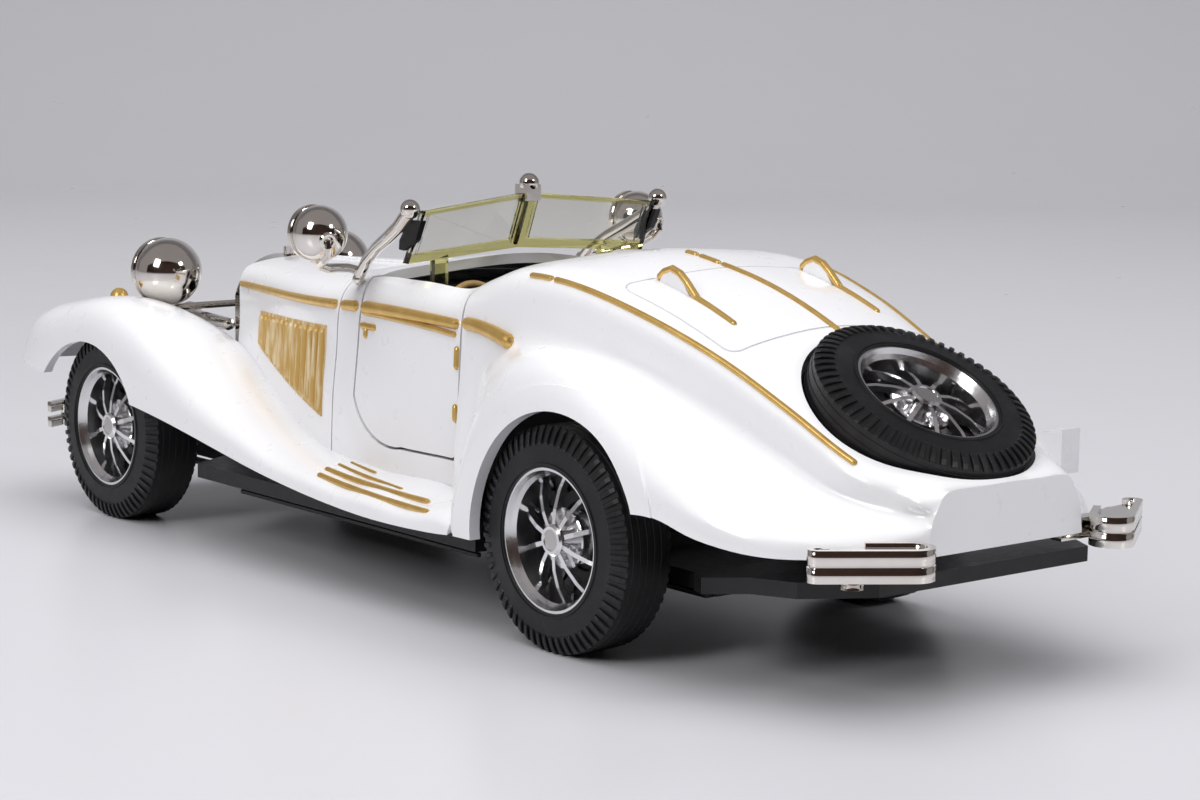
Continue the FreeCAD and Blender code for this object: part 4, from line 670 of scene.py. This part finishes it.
def radiator_core():
    """Fine level bars behind the radiator's upright slats."""
    mesh = bmesh.new()
    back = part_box("radiator_slats")[1].y / MM
    for index in range(CORE_BARS):
        height = CORE_FOOT + index * CORE_PITCH
        reach = core_reach(height)
        block(mesh, LEVEL, (-reach, back - 0.25, height), (reach, back - 0.02, height + 0.3))
    mesh_piece("radiator_core", mesh, "root", "chrome_plate")


def bonnet_hinge():
    """Long hinge bead down the middle of the bonnet, in knuckles."""
    mesh = bmesh.new()
    front, rear, knuckles, radius = -59.0, -17.2, 21, 0.36
    step = (rear - front) / knuckles
    for index in range(knuckles):
        places = [front + step * (index + share) for share in (0.04, 0.5, 0.96)]
        spots = [surface("bonnet", mm(0.01, y, 80), (0, 0, -1)) for y in places]
        tube(mesh, [spot + mm(0, 0, 0.05) for spot in spots], radius, 12)
    mesh_piece("bonnet_hinge", mesh, "root", "white_paint")


# Dials: their places across the dashboard in mm, and their marks' turns in degrees.
DIAL_PLACES = (-11.5, -4.0, 4.0, 13.5)
DIAL_BEZEL_OUTLINE = [(0.0, 1.5), (0.0, 1.85), (0.35, 1.85), (0.45, 1.7), (0.35, 1.5)]
DIAL_FACE_OUTLINE = [(0.0, ON_AXIS), (0.0, 1.52), (0.1, 1.52), (0.1, ON_AXIS)]
TICK_TURNS = range(-135, 136, 27)
POINTER_TURN = -60


def dash_dials():
    """White dials with chrome bezels, ticks and pointers in the dashboard's four wells."""
    bezels = bmesh.new()
    faces = bmesh.new()
    marks = bmesh.new()
    for across in DIAL_PLACES:
        spot = surface("dashboard", mm(across, 6.0, 39.2), (0, -1, 0))
        matrix = facing(spot, (0, 1, 0))
        lathe(bezels, matrix, DIAL_BEZEL_OUTLINE, 48)
        lathe(faces, matrix, DIAL_FACE_OUTLINE, 48)
        for turn in TICK_TURNS:
            tick = turned(matrix, math.radians(turn))
            block(marks, tick, (0.08, -0.05, 1.1), (0.16, 0.05, 1.4))
        pointer = turned(matrix, math.radians(POINTER_TURN))
        block(marks, pointer, (0.1, -0.06, -0.3), (0.22, 0.06, 1.1))
    mesh_piece("dial_bezels", bezels, "root", "chrome_plate")
    mesh_piece("dial_faces", faces, "root", "white_paint")
    mesh_piece("dial_marks", marks, "root", "black_plastic")


# Door card: its points along and up the door, its pleats, and its limits in mm.
CARD_COLUMNS = 60
CARD_ROWS = 12
CARD_PLEATS = 8
CARD_FRONT, CARD_REAR = -7.0, 13.0
CARD_LOW, CARD_HIGH = 23.5, 36.5


def card_rise(column, row):
    """How far the card stands off the door: a little at its edges, and more over each pleat."""
    edge_rise, rise, pleat_rise = 0.05, 0.18, 0.22
    if column in (0, CARD_COLUMNS) or row in (0, CARD_ROWS):
        return edge_rise
    return rise + pleat_rise * abs(math.sin(math.pi * CARD_PLEATS * column / CARD_COLUMNS))


def door_cards():
    """Pleated panel on the inside of each door, thin at its edges."""
    for name, side in SIDES.items():
        node = "door_" + name
        mesh = bmesh.new()
        loops = []
        for column in range(CARD_COLUMNS + 1):
            y = CARD_FRONT + (CARD_REAR - CARD_FRONT) * column / CARD_COLUMNS
            near, far = [], []
            for row in range(CARD_ROWS + 1):
                z = CARD_LOW + (CARD_HIGH - CARD_LOW) * row / CARD_ROWS
                spot = surface(node, mm(10.0 * side, y, z), (side, 0, 0))
                near.append(mesh.verts.new(spot - mm(card_rise(column, row) * side, 0, 0)))
                far.append(mesh.verts.new(spot + mm(0.2 * side, 0, 0)))
            loops.append(near + far[::-1])
        closed_rings(mesh, loops)
        mesh_piece(node + "_card", mesh, node, "black_plastic")


def seat_piping():
    """Rolled piping over the top of each seat back and along each cushion's front edge."""
    mesh = bmesh.new()
    inner, outer, steps, radius = 2.8, 16.4, 12, 0.32
    for side in SIDES.values():
        for height, start in ((42.0, 5.0), (24.0, -8.0)):
            route = []
            for index in range(steps + 1):
                across = inner + (outer - inner) * index / steps
                spot = surface("seats", mm(across * side, start, height), (0, 1, 0))
                route.append(spot - mm(0, 0.05, 0))
            tube(mesh, route, radius)
    mesh_piece("seat_piping", mesh, "root", "black_plastic")


# Underside in mm. A rail has its place across, half width, front end, rear end and depth.
RAILS = ((14.5, 0.8, -86.0, 60.0, 0.5), (24.0, 0.4, -40.0, 22.0, 0.35))
RIB_PLACES = (-84.0, -56.0, -38.0, -14.0, 8.0, 30.0, 60.0)
RIB_ROOT = 0.3
SCREW_ROWS = (-78.0, 52.0)
SCREW_COLUMNS = (-5.0, 5.0)
SCREW_OUTLINE = [
    (0.0, ON_AXIS), (0.0, 1.6), (0.3, 1.55), (0.55, 1.1), (0.6, 0.35), (0.35, 0.3), (0.35, ON_AXIS),
]
# Black cross laid over each screw head, barely proud of it: painted shade that stands for the recessed
# cross slot, which is not cut.
SCREW_CROSS_PAINTED_SHADE = (((0.2, -1.0, -0.16), (0.62, 1.0, 0.16)), ((0.2, -0.16, -1.0), (0.62, 0.16, 1.0)))


def base_ribs():
    """Rails and cross ribs moulded under the base, and screw heads, each with a black cross laid on it
    as painted shade for a recessed cross slot.
    """
    ribs = bmesh.new()
    heads = bmesh.new()
    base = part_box("chassis_base")[0].z / MM
    root = base + RIB_ROOT
    for side in SIDES.values():
        for across, half, front, rear, depth in RAILS:
            x = across * side
            block(ribs, LEVEL, (x - half, front, base - depth), (x + half, rear, root))
    for y in RIB_PLACES:
        block(ribs, LEVEL, (-14.0, y - 0.5, base - 0.4), (14.0, y + 0.5, root))
    for y in SCREW_ROWS:
        for x in SCREW_COLUMNS:
            matrix = facing(mm(x, y, base - 0.02), (0, 0, -1))
            lathe(heads, matrix, SCREW_OUTLINE, 32)
            # The cross goes into the black plastic piece: painted shade for the slot in the steel head.
            for low, high in SCREW_CROSS_PAINTED_SHADE:
                block(ribs, matrix, low, high)
    mesh_piece("base_ribs", ribs, "root", "black_plastic", soften_mm=0.12)
    mesh_piece("base_screw_heads", heads, "root", "steel")


def dress_body():
    """Every fine piece that is not on a wheel."""
    lamp_insides()
    spotlight_mounts()
    radiator_core()
    bonnet_hinge()
    dash_dials()
    door_cards()
    seat_piping()
    base_ribs()


# Camera: its place in metres, the way it looks, its roll in radians, its lens and sensor in mm.
CAMERA_PLACE = Vector((0.25339, 0.32634, 0.08609))
CAMERA_LOOK = Vector((-0.6294, -0.7635, -0.1446))
CAMERA_ROLL = 0.0143046
CAMERA_LENS = 83.03
CAMERA_SENSOR = 36.0


def add_camera():
    """Camera where the photograph was taken from."""
    look = CAMERA_LOOK.normalized()
    right = look.cross(Vector((0, 0, 1))).normalized()
    up = right.cross(look)
    right_rolled = right * math.cos(CAMERA_ROLL) + up * math.sin(CAMERA_ROLL)
    up_rolled = up * math.cos(CAMERA_ROLL) - right * math.sin(CAMERA_ROLL)
    turn = Matrix((right_rolled, up_rolled, -look)).transposed().to_4x4()
    data = bpy.data.cameras.new("camera")
    data.lens = CAMERA_LENS
    data.sensor_width = CAMERA_SENSOR
    data.clip_start = 0.01
    camera = bpy.data.objects.new("camera", data)
    camera.matrix_world = Matrix.Translation(CAMERA_PLACE) @ turn
    bpy.context.scene.collection.objects.link(camera)
    bpy.context.scene.camera = camera


def floor_finish():
    """Pale satin studio floor."""
    finish = Finish("studio_floor", IOR=1.45)
    cloud = finish.noise(160.0, 3.0)
    finish.vary(Base_Color=finish.blend(cloud, (0.582, 0.586, 0.618), (0.612, 0.616, 0.648)))
    finish.vary(Roughness=0.26 + 0.06 * finish.noise(14.0, 2.0))
    finish.relief(finish.noise(25.0, 2.0), 0.05)
    return finish.material


def wall_finish():
    """Dark brown wall of the room, which only the chrome shows."""
    finish = Finish("room_wall", IOR=1.45)
    cloud = finish.noise(300.0, 3.0)
    finish.vary(Base_Color=finish.blend(cloud, (0.035, 0.018, 0.013), (0.075, 0.042, 0.032)))
    finish.vary(Roughness=0.7 + 0.2 * finish.noise(90.0))
    finish.relief(finish.noise(60.0), 2.0)
    return finish.material


BEHIND = Vector((CAMERA_LOOK.x, CAMERA_LOOK.y, 0)).normalized()
ACROSS = Vector((-BEHIND.y, BEHIND.x, 0))


def stage_sheet(name, profile, half_width, material):
    """Sheet swept sideways from a profile of (distance behind the car, height) pairs in metres."""
    mesh = bmesh.new()
    rows = []
    for distance, rise in profile:
        spot = BEHIND * distance + Vector((0, 0, rise))
        ends = (spot + ACROSS * half_width, spot - ACROSS * half_width)
        rows.append([mesh.verts.new(end) for end in ends])
    for before, after in zip(rows, rows[1:]):
        mesh.faces.new((before[0], before[1], after[1], after[0]))
    sheet = add_object(name, mesh, material)
    for face in sheet.data.polygons:
        face.use_smooth = True


def add_stage():
    """Floor that sweeps up into a plain backdrop, and the dark wall behind the camera."""
    near, far, radius, height, half_width = -1.6, 0.75, 0.35, 2.4, 3.0
    profile = [(near, 0.0), (far, 0.0)]
    steps = 16
    for step in range(1, steps + 1):
        angle = math.pi / 2 * step / steps
        profile.append((far + radius * math.sin(angle), radius * (1 - math.cos(angle))))
    profile.append((far + radius, height))
    stage_sheet("studio_sweep", profile, half_width, floor_finish())
    stage_sheet("room_wall", [(-1.1, 0.01), (-1.1, 1.0)], half_width, wall_finish())


def softbox(name, place, aim, width, height, power, mirrored=True):
    """Rectangular soft light that faces a point. One that isn't mirrored stays out of the chrome."""
    data = bpy.data.lights.new(name, "AREA")
    data.shape = "RECTANGLE"
    data.size = width
    data.size_y = height
    data.energy = power
    lamp = bpy.data.objects.new(name, data)
    place = Vector(place)
    turn = (place - Vector(aim)).to_track_quat("Z", "Y").to_matrix().to_4x4()
    lamp.matrix_world = Matrix.Translation(place) @ turn
    lamp.visible_glossy = mirrored
    bpy.context.scene.collection.objects.link(lamp)


def add_lights():
    """Broad light overhead, a key box on the left and a small one on the right."""
    middle = (0.0, 0.0, 0.03)
    softbox("overhead_light", (0.05, 0.05, 0.95), middle, 1.3, 1.3, 12.5, mirrored=False)
    softbox("key_box", (0.62, 0.1, 0.42), middle, 0.22, 0.3, 1.8)
    softbox("fill_box", (-0.25, 0.75, 0.5), middle, 0.16, 0.16, 1.2)
    world = bpy.data.worlds.new("studio_air")
    world.use_nodes = True
    air = world.node_tree.nodes["Background"].inputs
    air["Color"].default_value = (0.36, 0.335, 0.335, 1.0)
    air["Strength"].default_value = 0.8
    bpy.context.scene.world = world
    bpy.context.scene.view_settings.view_transform = "Standard"


finish_nodes()
dress_wheels()
dress_body()
add_camera()
add_stage()
add_lights()

bpy.context.view_layer.update()
